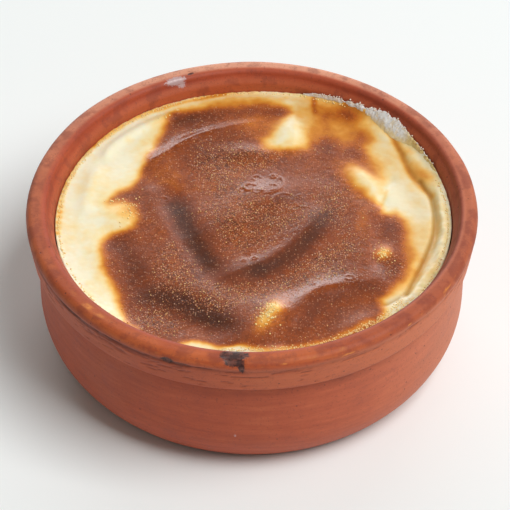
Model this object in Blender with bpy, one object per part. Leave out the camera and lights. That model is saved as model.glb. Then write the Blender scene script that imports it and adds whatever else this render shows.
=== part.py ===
"""Oven-browned rice pudding, set in the unglazed clay bowl that it was baked in.

Metres, +Z up. The origin is the middle of the bowl's flat underside. Every size below is in
millimetres and becomes metres in add_mesh.
"""

import math

import bmesh
import bpy
import numpy as np

MM = 0.001

# The bowl, as heights above its underside and radii from its axis.
BOWL_HEIGHT = 44.0
RIM_RADIUS = 60.0
RIM_WIDTH = 5.3  # across the top of the rim
RIM_ROUND = 2.1  # rounding of the rim's outer edge
LIP_ROUND = 1.5  # rounding of the rim's inner edge
BAND_FOOT_RADIUS = 58.7  # lower edge of the band under the rim
GROOVE_HEIGHT = 32.1  # the line where that band steps back to the body
GROOVE_RADIUS = 56.5
GROOVE_STEP = 1.1  # height of the step
BELLY_RADIUS = 57.2
BELLY_HEIGHT = 17.0
BELLY_CURVE = 2.35  # how late the wall turns in below the belly
FOOT_RADIUS = 49.8  # where the wall would meet the table
UNDERSIDE_RADIUS = 46.6  # the flat face it stands on
HOLLOW_OFFSET = 0.4  # the hollow is thrown this far off the axis, along +X
HOLLOW_RADIUS = 52.9  # inside the wall, at the pudding's level
HOLLOW_FLOOR = 6.5
HOLLOW_FLOOR_RADIUS = 38.0

# Hand-thrown unevenness: (amplitude in mm, waves round the bowl, phase).
OUT_OF_ROUND = ((0.16, 2, 0.6), (0.09, 3, 2.1), (0.05, 7, 4.0))
RIM_WAVE = ((0.14, 2, 2.4), (0.07, 5, 0.9))

# The pudding.
PUDDING_LEVEL = 38.1  # where the skin meets the wall
PUDDING_DOME = 0.5  # how much higher the middle stands
GAP = 0.3  # between the pudding and the clay

# Round hollows and swellings of the skin: centre x, y, half widths, turn in degrees, height.
SWELLS = {
    "middle_mound": (0, 2, 17, 14, 20, 0.8),
    "mound_top": (3.0, 7.6, 7.2, 6.2, 30, 0.95),
    "back_rise": (6, 50, 32, 11, 0, 1.0),
    "front_plateau": (3.0, -44, 9, 12, 0, 2.1),
    "front_right_rise": (27.8, -40.6, 7, 3.6, 42, 0.95),
    "left_shoulder": (-40, -14, 3, 8, 14, 0.35),
    "left_plain": (-22, -17, 7, 8, 20, 0.3),
    "left_hollow": (-33, -33, 5.5, 12, 10, -0.7),
    "mound_right": (18, 9, 8, 8, 0, 0.42),
    "back_middle_rise": (-1.5, 26.2, 6, 3.2, 0, 0.8),
    "mound_tail": (-4, -2, 6, 6.5, 0, 0.5),
    "cream_pool_right": (43, 10, 5, 14, 10, -0.6),
    "cream_pool_left": (-35, 27, 4, 8, -40, -0.4),
    "cream_swell_left": (-42, 13, 5, 6, 0, 0.35),
    "front_blister": (5.0, -37.2, 2.8, 5.2, -20, 0.8),
    "right_blister": (35, -13.0, 3.0, 3.6, 0, 0.7),
    "left_blister": (-36, 1, 5.0, 5.0, 0, 0.7),
    "pale_blister": (30.5, 15.0, 3.0, 6.0, 33, 0.7),
    "back_blister": (9.5, 34, 3.6, 6.0, -12, 0.8),
}

# Ridges (height above 0) and furrows (below 0) along a smooth line: height, half width, points.
FOLDS = {
    "left_furrow": (
        -0.7,
        3.6,
        ((-21.5, 10), (-20.6, 5), (-19, -1), (-17, -8), (-14, -14.5), (-11, -20.5), (-7.5, -25)),
    ),
    "left_ridge": (0.4, 2.6, ((-26.5, 11), (-25.5, 3), (-24, -5))),
    "left_gutter": (-0.6, 4.2, ((-37, -6), (-34, -12), (-32, -20), (-29, -29))),
    "front_left_crest": (0.45, 4.4, ((-23, -24), (-15, -28), (-7, -33), (-2, -38.5))),
    "front_left_valley": (-0.5, 4.4, ((-28, -32), (-22, -36), (-15, -40), (-7, -43.5))),
    "right_gutter": (-0.5, 2.6, ((37, 7), (35, -1), (34.5, -8), (33.5, -17))),
    "right_crease": (
        -0.75,
        1.7,
        ((31, 44), (36.5, 37.8), (39.1, 31.6), (40.8, 26.7), (42.3, 21.4), (44.6, 16.2), (48.5, 10.6)),
    ),
    "skin_crease": (
        -0.8,
        1.1,
        ((48.7, 9.4), (49.5, 1.5), (48.7, -6.4), (45.5, -16.1), (42.6, -23.7), (40.2, -28.6)),
    ),
    "short_crease": (-0.6, 1.4, ((38, 17), (35.5, 11), (34.5, 6))),
    "left_wrinkle": (0.45, 2.0, ((-42.1, 19.5), (-44.1, 10.6), (-44.9, 2.7))),
    "pale_wrinkle": (
        0.8,
        1.7,
        ((-21, 42.6), (-28.2, 38.6), (-32.2, 35.6), (-36.2, 31.8), (-38.9, 28.4), (-40.3, 24.4)),
    ),
}

# Lopsided ridges, as where one fold lies over another: height, half widths to the left and to the right
# of the way the points run, points.
LEDGES = {
    "triangle_ridge": (0.5, 1.3, 4.0, ((10.7, 42), (11.4, 37), (11.3, 32), (10.6, 28))),
    "tongue_edge": (
        1.35,
        4.6,
        4.8,
        (
            (18.4, 7.5), (17.8, 2), (15.6, -3.2), (11.7, -9.3), (7.6, -13.8),
            (3, -17.6), (-1.8, -20.4), (-7.8, -22.8), (-12.5, -24),
        ),
    ),
    "tongue_left": (0.3, 6.0, 4.0, ((-14, 8), (-12.5, 0), (-10, -8), (-7, -15), (-4, -19))),
    "plateau_lip": (
        1.25,
        5.0,
        8.5,
        (
            (36, -22), (34, -23), (27, -25.4), (20, -27.6),
            (15.4, -30), (12.8, -34.5), (10.6, -40), (6, -44),
        ),
    ),
    "lip_crest": (
        0.65,
        3.4,
        4.0,
        (
            (30, -24.4), (24, -26), (20, -27.2), (16, -28.8),
            (13.3, -31.4), (12.3, -35), (11, -39.5), (8, -43.2),
        ),
    ),
    "back_streak": (
        0.9,
        2.5,
        8.0,
        ((-30, 19.8), (-27.4, 22.8), (-24.2, 25.5), (-21.1, 28.4), (-18.1, 31), (-15.2, 33.2)),
    ),
    "back_streak_end": (
        0.6,
        1.6,
        6.0,
        ((-20.4, 29.4), (-16.2, 32.8), (-11.8, 35.1), (-7.8, 36.5), (-3.2, 38), (3, 39.4)),
    ),
    "bank_edge": (0.45, 1.6, 6.0, ((33.6, 9), (31.7, 2), (31.1, -6), (31.1, -14), (30.4, -19.5))),
    "flap_edge": (0.5, 3.0, 0.9, ((44.5, -25.5), (41, -30), (37.5, -33), (34.5, -35.5))),
}

# Where the skin creeps up the wall: middle angle and spread in degrees, height, reach inwards.
WALL_CLIMBS = {
    "all_round": (0, 9999, 0.5, 1.7),
    "torn_skin": (46, 22, 2.0, 1.0),
    "right_strip": (-6, 24, 0.25, 2.0),
    "back": (96, 24, -0.55, 2.6),
}

# Rolls of skin along the wall: middle angle and spread in degrees, distance from the wall, half width,
# height.
WALL_ROLLS = {
    "right_strip": (-7, 21, 2.0, 1.35, 0.85),
    "torn_foot": (38, 9, 3.2, 1.3, 0.5),
}

BOWL_SEGMENTS = 80
PUDDING_SEGMENTS = 80
PUDDING_RINGS = 34
ARC_STEPS = 5
FOLD_STEPS = 7  # samples between two points of a fold
LEDGE_BLEND = 2.5  # how far each sample of a ledge reaches along it
LEDGE_SHARPNESS = 1.5
LEDGE_TAPER = 0.24  # share of a ledge over which it fades in and out
SHARP_ANGLE = math.radians(40)

CLAY_COLOUR = (0.42, 0.13, 0.07, 1.0)
PUDDING_COLOUR = (0.30, 0.13, 0.06, 1.0)


def arc(centre, radii, start, end, steps=ARC_STEPS):
    """Points (r, z) along part of an ellipse, angles in degrees."""
    points = []
    for step in range(steps + 1):
        angle = math.radians(start + (end - start) * step / steps)
        points.append((centre[0] + radii[0] * math.cos(angle), centre[1] + radii[1] * math.sin(angle)))
    return points


def outer_profile():
    """The outside of the bowl, (r, z) from the middle of the underside to the top of the rim."""
    points = [(0.0, 0.0), (UNDERSIDE_RADIUS * 0.6, 0.0), (UNDERSIDE_RADIUS, 0.0)]
    for share in (0.06, 0.2, 0.38, 0.58, 0.78, 1.0):
        height = BELLY_HEIGHT * share
        inset = (BELLY_RADIUS - FOOT_RADIUS) * (1 - share) ** BELLY_CURVE
        points.append((BELLY_RADIUS - inset, height))
    for share in (0.35, 0.7, 0.93):
        height = BELLY_HEIGHT + (GROOVE_HEIGHT - BELLY_HEIGHT) * share
        points.append((BELLY_RADIUS - (BELLY_RADIUS - GROOVE_RADIUS) * share**3, height))
    points.append((GROOVE_RADIUS, GROOVE_HEIGHT))
    points.append((BAND_FOOT_RADIUS, GROOVE_HEIGHT + GROOVE_STEP))
    edge_height = BOWL_HEIGHT - RIM_ROUND
    for share in (0.35, 0.7):
        height = GROOVE_HEIGHT + GROOVE_STEP + (edge_height - GROOVE_HEIGHT - GROOVE_STEP) * share
        points.append((BAND_FOOT_RADIUS + (RIM_RADIUS - BAND_FOOT_RADIUS) * share, height))
    points += arc((RIM_RADIUS - RIM_ROUND, edge_height), (RIM_ROUND, RIM_ROUND), 0, 90)
    return points


def inner_profile():
    """The hollow of the bowl, (r, z) from the rim's inner edge down to the middle of the floor."""
    lip_radius = RIM_RADIUS - RIM_WIDTH
    lip = arc((lip_radius + LIP_ROUND, BOWL_HEIGHT - LIP_ROUND), (LIP_ROUND, LIP_ROUND), 90, 180)
    return lip + cavity_profile()


def cavity_profile():
    """The wall and floor that the pudding fills, (r, z) from just above its level downwards."""
    wall = [(HOLLOW_RADIUS + 0.4, PUDDING_LEVEL + 2.4), (HOLLOW_RADIUS, PUDDING_LEVEL - 1.0)]
    corner_height = 15.0
    corner = arc(
        (HOLLOW_FLOOR_RADIUS, HOLLOW_FLOOR + corner_height),
        (HOLLOW_RADIUS - 1.0 - HOLLOW_FLOOR_RADIUS, corner_height),
        0,
        -90,
    )
    return wall + corner + [(HOLLOW_FLOOR_RADIUS * 0.5, HOLLOW_FLOOR), (0.0, HOLLOW_FLOOR)]


def waves(terms, angle):
    return sum(size * math.sin(count * angle + phase) for size, count, phase in terms)


def thrown(radius, height, angle, hollow):
    """The place of a profile point on the bowl: its unevenness, and the hollow's offset."""
    share = height / BOWL_HEIGHT
    uneven = radius + waves(OUT_OF_ROUND, angle) * share * min(1.0, radius / FOOT_RADIUS)
    lifted = height + waves(RIM_WAVE, angle) * share**6
    shift = HOLLOW_OFFSET * hollow
    return (uneven * math.cos(angle) + shift, uneven * math.sin(angle), lifted)


def smooth_line(points):
    """A Catmull-Rom curve through the points, and the length that each sample stands for."""
    ends = np.array(points, float)
    padded = np.vstack([2 * ends[0] - ends[1], ends, 2 * ends[-1] - ends[-2]])
    samples = []
    for first in range(len(ends) - 1):
        a, b, c, d = padded[first : first + 4]
        for step in range(FOLD_STEPS):
            t = step / FOLD_STEPS
            samples.append(
                0.5 * (2 * b + (c - a) * t + (2 * a - 5 * b + 4 * c - d) * t**2 + (3 * b - a - 3 * c + d) * t**3)
            )
    samples = np.array(samples + [ends[-1]])
    return samples, np.linalg.norm(np.gradient(samples, axis=0), axis=1)


def swell_height(x, y, centre_x, centre_y, half_x, half_y, turn, height):
    angle = math.radians(turn)
    along = (x - centre_x) * math.cos(angle) + (y - centre_y) * math.sin(angle)
    across = (y - centre_y) * math.cos(angle) - (x - centre_x) * math.sin(angle)
    return height * np.exp(-((along / half_x) ** 2) - (across / half_y) ** 2)


def fold_height(x, y, height, half_width, points):
    """A round-backed ridge or furrow that fades out at its ends."""
    line, lengths = smooth_line(points)
    squares = (x[..., None] - line[:, 0]) ** 2 + (y[..., None] - line[:, 1]) ** 2
    swept = (np.exp(-squares / half_width**2) * lengths).sum(axis=-1)
    return height * swept / (half_width * math.sqrt(math.pi))


def ledge_height(x, y, height, left_width, right_width, points):
    """A ridge with a different slope on each side, fading in and out at its ends."""
    line, lengths = smooth_line(points)
    heading = np.gradient(line, axis=0)
    heading /= np.linalg.norm(heading, axis=1)[:, None]
    run = np.linspace(0, 1, len(line))
    ease = np.clip(np.minimum(run, 1 - run) / LEDGE_TAPER, 0, 1)
    lengths = lengths * ease * ease * (3 - 2 * ease)
    off_x, off_y = x[..., None] - line[:, 0], y[..., None] - line[:, 1]
    along = off_x * heading[:, 0] + off_y * heading[:, 1]
    left = off_y * heading[:, 0] - off_x * heading[:, 1]
    share = np.abs(left) / np.where(left > 0, left_width, right_width)
    swept = np.exp(-((along / LEDGE_BLEND) ** 2) - share**LEDGE_SHARPNESS) * lengths
    return height * swept.sum(axis=-1) / (LEDGE_BLEND * math.sqrt(math.pi))


def skin_height(x, y, wall_distance):
    """Height of the pudding's skin at x, y, a given distance in from the wall."""
    share = 1 - np.clip(wall_distance / HOLLOW_RADIUS, 0, 1)
    height = PUDDING_LEVEL + PUDDING_DOME * (1 - share**2)
    settled = 1 - np.exp(-((wall_distance / 3.0) ** 2))
    for swell in SWELLS.values():
        height = height + swell_height(x, y, *swell) * settled
    for fold in FOLDS.values():
        height = height + fold_height(x, y, *fold) * settled
    for ledge in LEDGES.values():
        height = height + ledge_height(x, y, *ledge) * settled
    around = np.degrees(np.arctan2(y, x))
    for middle, spread, climb, reach in WALL_CLIMBS.values():
        off_angle = (around - middle + 180) % 360 - 180
        height = height + climb * np.exp(-((off_angle / spread) ** 2) - wall_distance / reach)
    for middle, spread, inset, half_width, rise in WALL_ROLLS.values():
        off_angle = (around - middle + 180) % 360 - 180
        waver = 0.35 * np.sin(np.radians(around) * 9 + 1) + 0.2 * np.sin(np.radians(around) * 23)
        across = (wall_distance - inset - waver) / half_width
        height = height + rise * np.exp(-((off_angle / spread) ** 4) - across**2)
    return height


def add_mesh(name, rings, material):
    """One closed body from rings of points, the first and the last a single point on the axis."""
    mesh = bmesh.new()
    loops = [[mesh.verts.new([value * MM for value in point]) for point in ring] for ring in rings]
    for lower, upper in zip(loops, loops[1:]):
        count = max(len(lower), len(upper))
        for here in range(count):
            after = (here + 1) % count
            if len(lower) == 1:
                mesh.faces.new((lower[0], upper[after], upper[here]))
            elif len(upper) == 1:
                mesh.faces.new((lower[here], lower[after], upper[0]))
            else:
                mesh.faces.new((lower[here], lower[after], upper[after], upper[here]))
    bmesh.ops.recalc_face_normals(mesh, faces=mesh.faces)
    data = bpy.data.meshes.new(name)
    mesh.to_mesh(data)
    mesh.free()
    data.materials.append(material)
    data.shade_smooth()
    data.set_sharp_from_angle(angle=SHARP_ANGLE)
    part = bpy.data.objects.new(name, data)
    bpy.context.scene.collection.objects.link(part)
    return part


def make_material(name, colour, roughness):
    material = bpy.data.materials.new(name)
    material.use_nodes = True
    shader = material.node_tree.nodes["Principled BSDF"]
    shader.inputs["Base Color"].default_value = colour
    shader.inputs["Roughness"].default_value = roughness
    shader.inputs["Metallic"].default_value = 0.0
    return material


def angles_of(segments):
    return [2 * math.pi * segment / segments for segment in range(segments)]


def make_bowl():
    rings = []
    for hollow, profile in ((0.0, outer_profile()), (1.0, inner_profile())):
        for radius, height in profile:
            if radius == 0:
                rings.append([(HOLLOW_OFFSET * hollow, 0.0, height)])
            else:
                rings.append([thrown(radius, height, angle, hollow) for angle in angles_of(BOWL_SEGMENTS)])
    return add_mesh("clay_bowl", rings, make_material("terracotta", CLAY_COLOUR, 0.8))


def make_pudding():
    """Fills the hollow up to its level, GAP clear of the clay, under its folded skin."""
    angles = angles_of(PUDDING_SEGMENTS)
    rings = [[(HOLLOW_OFFSET, 0.0, HOLLOW_FLOOR + GAP)]]
    below_level = [point for point in cavity_profile() if point[0] > 0 and point[1] < PUDDING_LEVEL]
    for radius, height in reversed(below_level):
        lift = GAP if height < HOLLOW_FLOOR + GAP else 0.0
        rings.append([thrown(radius - GAP, height + lift, angle, 1.0) for angle in angles])
    edge_radius = HOLLOW_RADIUS - GAP
    for ring in range(PUDDING_RINGS):
        share = 1 - ring / PUDDING_RINGS
        placed = np.array([thrown(edge_radius * share, PUDDING_LEVEL, angle, 1.0) for angle in angles])
        heights = skin_height(placed[:, 0], placed[:, 1], np.full(len(angles), edge_radius * (1 - share)))
        rings.append([(x, y, z) for x, y, z in zip(placed[:, 0], placed[:, 1], heights)])
    middle = skin_height(np.array([HOLLOW_OFFSET]), np.array([0.0]), np.array([edge_radius]))
    rings.append([(HOLLOW_OFFSET, 0.0, middle[0])])
    return add_mesh("pudding", rings, make_material("browned_pudding", PUDDING_COLOUR, 0.45))


def main():
    for thing in list(bpy.data.objects):
        bpy.data.objects.remove(thing, do_unlink=True)
    make_bowl()
    make_pudding()


main()
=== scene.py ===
# Oven-browned rice pudding in its clay bowl: finish, small relief, light and camera.
# Sizes in the dictionaries are millimetres unless a note says otherwise, angles are degrees.
import math

import bpy
import numpy as np
from mathutils import Matrix, Vector


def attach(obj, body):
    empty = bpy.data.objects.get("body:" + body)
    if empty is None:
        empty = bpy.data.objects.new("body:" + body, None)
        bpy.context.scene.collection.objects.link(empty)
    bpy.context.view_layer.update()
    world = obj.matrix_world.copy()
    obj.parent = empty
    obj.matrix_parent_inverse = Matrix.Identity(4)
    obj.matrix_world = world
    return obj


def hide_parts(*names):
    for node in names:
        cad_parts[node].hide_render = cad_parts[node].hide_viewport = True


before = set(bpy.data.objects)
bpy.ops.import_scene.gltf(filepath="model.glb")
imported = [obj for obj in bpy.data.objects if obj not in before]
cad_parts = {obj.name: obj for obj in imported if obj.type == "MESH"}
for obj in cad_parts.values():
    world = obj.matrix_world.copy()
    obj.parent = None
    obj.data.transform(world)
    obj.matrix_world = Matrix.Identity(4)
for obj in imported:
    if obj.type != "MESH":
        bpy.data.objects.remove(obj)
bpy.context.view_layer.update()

mm = 0.001

# the turned shape of the bowl
bowl = {
    "height": 44.0,
    "rimRadius": 60.0,
    "rimWidth": 5.3,
    "rimRound": 2.1,
    "lipRound": 1.5,
    "bandFootRadius": 58.7,
    "grooveHeight": 32.1,
    "grooveRadius": 56.5,
    "grooveStep": 1.1,
    "bellyRadius": 57.2,
    "bellyHeight": 17.0,
    "bellyCurve": 2.35,
    "bellyStart": 0.04,     # share of the belly's height where its curve meets the underside
    "neckCurve": 3,
    "footRadius": 49.8,
    "undersideRadius": 46.6,
    "middleRadius": 0.6,    # the rings end this close to the axis
    "hollowOffset": 0.4,
    "hollowRadius": 52.9,
    "hollowWallTop": 37.1,  # the hollow's wall is straight up to here
    "flareTop": 40.5,       # and wider here
    "flare": 0.4,
    "hollowFloor": 6.5,
    "hollowFloorRadius": 38.0,
    "hollowCornerInset": 1.0,
    "hollowCornerRise": 15.0,
    "outOfRound": ((0.16, 2, 0.6), (0.09, 3, 2.1), (0.05, 7, 4.0)),  # size, waves round the bowl, phase
    "rimWave": ((0.14, 2, 2.4), (0.07, 5, 0.9)),
    "segments": 540,
    "seenStep": 0.46,       # spacing of the rings where the clay shows
    "hiddenStep": 3.0,      # and where it doesn't
}

# the pudding's level and grid, and how its relief is laid out
pudding = {
    "level": 38.1,
    "dome": 0.5,
    "gap": 0.3,
    "grid": 296,            # cells across the skin
    "hiddenStep": 11.0,     # spacing of the rings below the skin
    "unevenShare": 0.87,    # how far the wall is out of round at this level, next to the rim
    "wallSettling": 3.0,    # the relief fades out this close to the wall
    "rollWave": ((0.35, 9, 1), (0.2, 23, 0)),  # the rolls along the wall waver: size, waves, phase
    "foldSteps": 7,         # samples between two points of a fold
    "ledgeBlend": 2.5,
    "ledgeSharpness": 1.5,
    "ledgeTaper": 0.24,     # share of a ledge over which it fades in and out
}

# centre x, y, half widths, turn, height
swells = {
    "middleMound": (0, 2, 17, 14, 20, 0.8),
    "moundTop": (3.0, 7.6, 7.2, 6.2, 30, 0.95),
    "backRise": (6, 50, 32, 11, 0, 1.0),
    "frontPlateau": (3.0, -44, 9, 12, 0, 2.1),
    "frontRightRise": (27.8, -40.6, 7, 3.6, 42, 0.95),
    "leftShoulder": (-40, -14, 3, 8, 14, 0.35),
    "leftPlain": (-22, -17, 7, 8, 20, 0.3),
    "leftHollow": (-33, -33, 5.5, 12, 10, -0.7),
    "moundRight": (18, 9, 8, 8, 0, 0.42),
    "backMiddleRise": (-1.5, 26.2, 6, 3.2, 0, 0.8),
    "moundTail": (-4, -2, 6, 6.5, 0, 0.5),
    "creamPoolRight": (43, 10, 5, 14, 10, -0.6),
    "creamPoolLeft": (-35, 27, 4, 8, -40, -0.4),
    "creamSwellLeft": (-42, 13, 5, 6, 0, 0.35),
    "frontBlister": (5.0, -37.2, 2.8, 5.2, -20, 0.8),
    "rightBlister": (35, -13.0, 3.0, 3.6, 0, 0.7),
    "leftBlister": (-36, 1, 5.0, 5.0, 0, 0.7),
    "paleBlister": (30.5, 15.0, 3.0, 6.0, 33, 0.7),
    "backBlister": (9.5, 34, 3.6, 6.0, -12, 0.8),
}

# where the skin creeps up the wall: middle angle, spread, height, reach inwards
wallClimbs = {
    "allRound": (0, 9999, 0.5, 1.7),
    "tornSkin": (46, 22, 2.0, 1.0),
    "rightStrip": (-6, 24, 0.25, 2.0),
    "back": (96, 24, -0.55, 2.6),
}

# rolls of skin along the wall: middle angle, spread, distance from the wall, half width, height
wallRolls = {
    "rightStrip": (-7, 21, 2.0, 1.35, 0.85),
    "tornFoot": (38, 9, 3.2, 1.3, 0.5),
}

# soft ridges and furrows: height, half width, points
folds = {
    "leftFurrow": (-0.7, 3.6, ((-21.5, 10), (-20.6, 5), (-19, -1), (-17, -8), (-14, -14.5), (-11, -20.5),
                               (-7.5, -25))),
    "leftRidge": (0.4, 2.6, ((-26.5, 11), (-25.5, 3), (-24, -5))),
    "leftGutter": (-0.6, 4.2, ((-37, -6), (-34, -12), (-32, -20), (-29, -29))),
    "frontLeftCrest": (0.45, 4.4, ((-23, -24), (-15, -28), (-7, -33), (-2, -38.5))),
    "frontLeftValley": (-0.5, 4.4, ((-28, -32), (-22, -36), (-15, -40), (-7, -43.5))),
    "rightGutter": (-0.5, 2.6, ((37, 7), (35, -1), (34.5, -8), (33.5, -17))),
    "rightCrease": (-0.75, 1.7, ((31, 44), (36.5, 37.8), (39.1, 31.6), (40.8, 26.7), (42.3, 21.4),
                                 (44.6, 16.2), (48.5, 10.6))),
    "skinCrease": (-0.8, 1.1, ((48.7, 9.4), (49.5, 1.5), (48.7, -6.4), (45.5, -16.1), (42.6, -23.7),
                               (40.2, -28.6))),
    "shortCrease": (-0.6, 1.4, ((38, 17), (35.5, 11), (34.5, 6))),
    "leftWrinkle": (0.45, 2.0, ((-42.1, 19.5), (-44.1, 10.6), (-44.9, 2.7))),
    "paleWrinkle": (0.8, 1.7, ((-21, 42.6), (-28.2, 38.6), (-32.2, 35.6), (-36.2, 31.8), (-38.9, 28.4),
                               (-40.3, 24.4))),
}

# edges with a long slope on one side and a short one on the other:
# height, half width to the left and to the right of the way the points run, points
ledges = {
    "triangleRidge": (0.5, 1.3, 4.0, ((10.7, 42), (11.4, 37), (11.3, 32), (10.6, 28))),
    "tongueEdge": (1.35, 4.6, 4.8, ((18.4, 7.5), (17.8, 2), (15.6, -3.2), (11.7, -9.3), (7.6, -13.8),
                                    (3, -17.6), (-1.8, -20.4), (-7.8, -22.8), (-12.5, -24))),
    "tongueLeft": (0.3, 6.0, 4.0, ((-14, 8), (-12.5, 0), (-10, -8), (-7, -15), (-4, -19))),
    "plateauLip": (1.25, 5.0, 8.5, ((36, -22), (34, -23), (27, -25.4), (20, -27.6), (15.4, -30),
                                    (12.8, -34.5), (10.6, -40), (6, -44))),
    "lipCrest": (0.65, 3.4, 4.0, ((30, -24.4), (24, -26), (20, -27.2), (16, -28.8), (13.3, -31.4),
                                  (12.3, -35), (11, -39.5), (8, -43.2))),
    "backStreak": (0.9, 2.5, 8.0, ((-30, 19.8), (-27.4, 22.8), (-24.2, 25.5), (-21.1, 28.4), (-18.1, 31),
                                   (-15.2, 33.2))),
    "backStreakEnd": (0.6, 1.6, 6.0, ((-20.4, 29.4), (-16.2, 32.8), (-11.8, 35.1), (-7.8, 36.5),
                                      (-3.2, 38), (3, 39.4))),
    "bankEdge": (0.45, 1.6, 6.0, ((33.6, 9), (31.7, 2), (31.1, -6), (31.1, -14), (30.4, -19.5))),
    "flapEdge": (0.5, 3.0, 0.9, ((44.5, -25.5), (41, -30), (37.5, -33), (34.5, -35.5))),
}


class Wire:
    # a socket that can be used in sums: values make Math nodes, colours and vectors Vector Math nodes

    def __init__(self, finish, socket):
        self.finish = finish
        self.socket = socket

    def join(self, operation, other, swapped=False):
        pair = (other, self) if swapped else (self, other)
        vectors = [side for side in pair if isinstance(side, Wire) and side.socket.type in {"RGBA", "VECTOR"}]
        kind = "ShaderNodeVectorMath" if vectors else "ShaderNodeMath"
        return self.finish.node(kind, {"operation": operation}, dict(enumerate(pair)))

    def __add__(self, other): return self.join("ADD", other)
    def __radd__(self, other): return self.join("ADD", other, True)
    def __sub__(self, other): return self.join("SUBTRACT", other)
    def __rsub__(self, other): return self.join("SUBTRACT", other, True)
    def __mul__(self, other): return self.join("MULTIPLY", other)
    def __rmul__(self, other): return self.join("MULTIPLY", other, True)
    def __pow__(self, other): return self.join("POWER", other)
    def __rpow__(self, other): return self.join("POWER", other, True)

    def most(self, other): return self.join("MAXIMUM", other)
    def least(self, other): return self.join("MINIMUM", other)

    def out(self, name):
        return Wire(self.finish, self.socket.node.outputs[name])

    def rise(self, low, high):
        # 0 below low, 1 above high, smooth between
        return self.finish.node("ShaderNodeMapRange", {"interpolation_type": "SMOOTHSTEP"},
                                {"Value": self, "From Min": low, "From Max": high})


class Finish:
    # one material, made node by node

    def __init__(self, name):
        self.material = bpy.data.materials.new(name)
        self.material.use_nodes = True
        self.tree = self.material.node_tree
        self.tree.nodes.clear()

    def node(self, kind, settings=None, sockets=None):
        # settings first, then values or links for the sockets, each by name or number
        made = self.tree.nodes.new(kind)
        for name, value in (settings or {}).items():
            if name == "stops":
                self.setStops(made.color_ramp, value)
            else:
                setattr(made, name, value)
        for name, value in (sockets or {}).items():
            socket = made.inputs[name]
            if isinstance(value, Wire):
                self.tree.links.new(value.socket, socket)
            elif socket.type == "VECTOR" and isinstance(value, (int, float)):
                socket.default_value = (value, value, value)
            else:
                socket.default_value = value
        return Wire(self, next((socket for socket in made.outputs if socket.enabled), None))

    def setStops(self, ramp, stops):
        while len(ramp.elements) < len(stops):
            ramp.elements.new(0.5)
        for element, (place, colour) in zip(ramp.elements, stops):
            element.position = place
            element.color = colour

    def place(self):
        return self.node("ShaderNodeTexCoord").out("Object")

    def painted(self, name):
        return self.node("ShaderNodeAttribute", {"attribute_name": name}).out("Fac")

    def noise(self, where, size, detail=3.0, roughness=0.55):
        sockets = {"Vector": where, "Scale": 1.0 / (size * mm), "Detail": detail, "Roughness": roughness}
        return self.node("ShaderNodeTexNoise", {"noise_dimensions": "3D"}, sockets)

    def split(self, where):
        return self.node("ShaderNodeSeparateXYZ", None, {"Vector": where})

    def cells(self, where, size):
        sockets = {"Vector": where, "Scale": 1.0 / (size * mm)}
        return self.node("ShaderNodeTexVoronoi", {"feature": "F1"}, sockets)

    def ramp(self, share, stops):
        return self.node("ShaderNodeValToRGB", {"stops": stops}, {"Fac": share})

    def blend(self, share, low, high):
        factor, lowColour, highColour = 0, 6, 7  # the Mix node's sockets when it mixes colours
        sockets = {factor: share, lowColour: low, highColour: high}
        return self.node("ShaderNodeMix", {"data_type": "RGBA"}, sockets)

    def bump(self, height, strength, depth):
        sockets = {"Height": height, "Strength": strength, "Distance": depth * mm}
        return self.node("ShaderNodeBump", None, sockets)

    def surface(self, sockets):
        # the shader with its values, joined to the output
        shader = self.node("ShaderNodeBsdfPrincipled", None, {"IOR": 1.45, **sockets})
        self.node("ShaderNodeOutputMaterial", None, {"Surface": shader})
        return self.material


def shown(red, green, blue):
    # a colour as it looks on screen, 0 to 255, turned into the light values that shaders take
    def linear(value):
        value = value / 255
        return value / 12.92 if value <= 0.04045 else ((value + 0.055) / 1.055) ** 2.4
    return (linear(red), linear(green), linear(blue), 1.0)


noiseSeed = 41
rng = np.random.default_rng(noiseSeed)
noiseTable = np.tile(rng.permutation(256), 3)
noiseSlopes = rng.normal(size=(256, 3))
noiseSlopes /= np.linalg.norm(noiseSlopes, axis=1)[:, None]


def softNoise(x, y, z):
    # gradient noise, about -0.7 to 0.7, with features one unit across
    x, y, z = np.broadcast_arrays(x, y, z)
    corner = [np.floor(v).astype(int) for v in (x, y, z)]
    inside = [v - c for v, c in zip((x, y, z), corner)]
    fade = [v * v * v * (v * (v * 6 - 15) + 10) for v in inside]
    total = np.zeros(x.shape)
    for i in (0, 1):
        for j in (0, 1):
            for k in (0, 1):
                a = noiseTable[(corner[0] + i) & 255]
                b = noiseTable[a + ((corner[1] + j) & 255)]
                slope = noiseSlopes[noiseTable[b + ((corner[2] + k) & 255)]]
                dot = sum(slope[..., axis] * (inside[axis] - bit) for axis, bit in enumerate((i, j, k)))
                weight = np.ones(x.shape)
                for f, bit in zip(fade, (i, j, k)):
                    weight = weight * (f if bit else 1 - f)
                total += dot * weight
    return total


def roughNoise(x, y, z, size, octaves=3, gain=0.5):
    total, strength = 0.0, 1.0
    for step in range(octaves):
        scale = 2**step / size
        total = total + strength * softNoise(x * scale + 17.3 * step, y * scale - 5.1 * step, z * scale + 3.7)
        strength *= gain
    return total


def smoothStep(value, low, high):
    t = np.clip((value - low) / (high - low), 0, 1)
    return t * t * (3 - 2 * t)


def between(value, start, full, falling, end):
    return smoothStep(value, start, full) * (1 - smoothStep(value, falling, end))


def bell(value, middle, width, sharpness=2):
    return np.exp(-(np.abs((value - middle) / width) ** sharpness))


def arc(centre, radii, start, end, steps=24):
    points = []
    for step in range(steps + 1):
        angle = math.radians(start + (end - start) * step / steps)
        points.append((centre[0] + radii[0] * math.cos(angle), centre[1] + radii[1] * math.sin(angle)))
    return points


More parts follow.
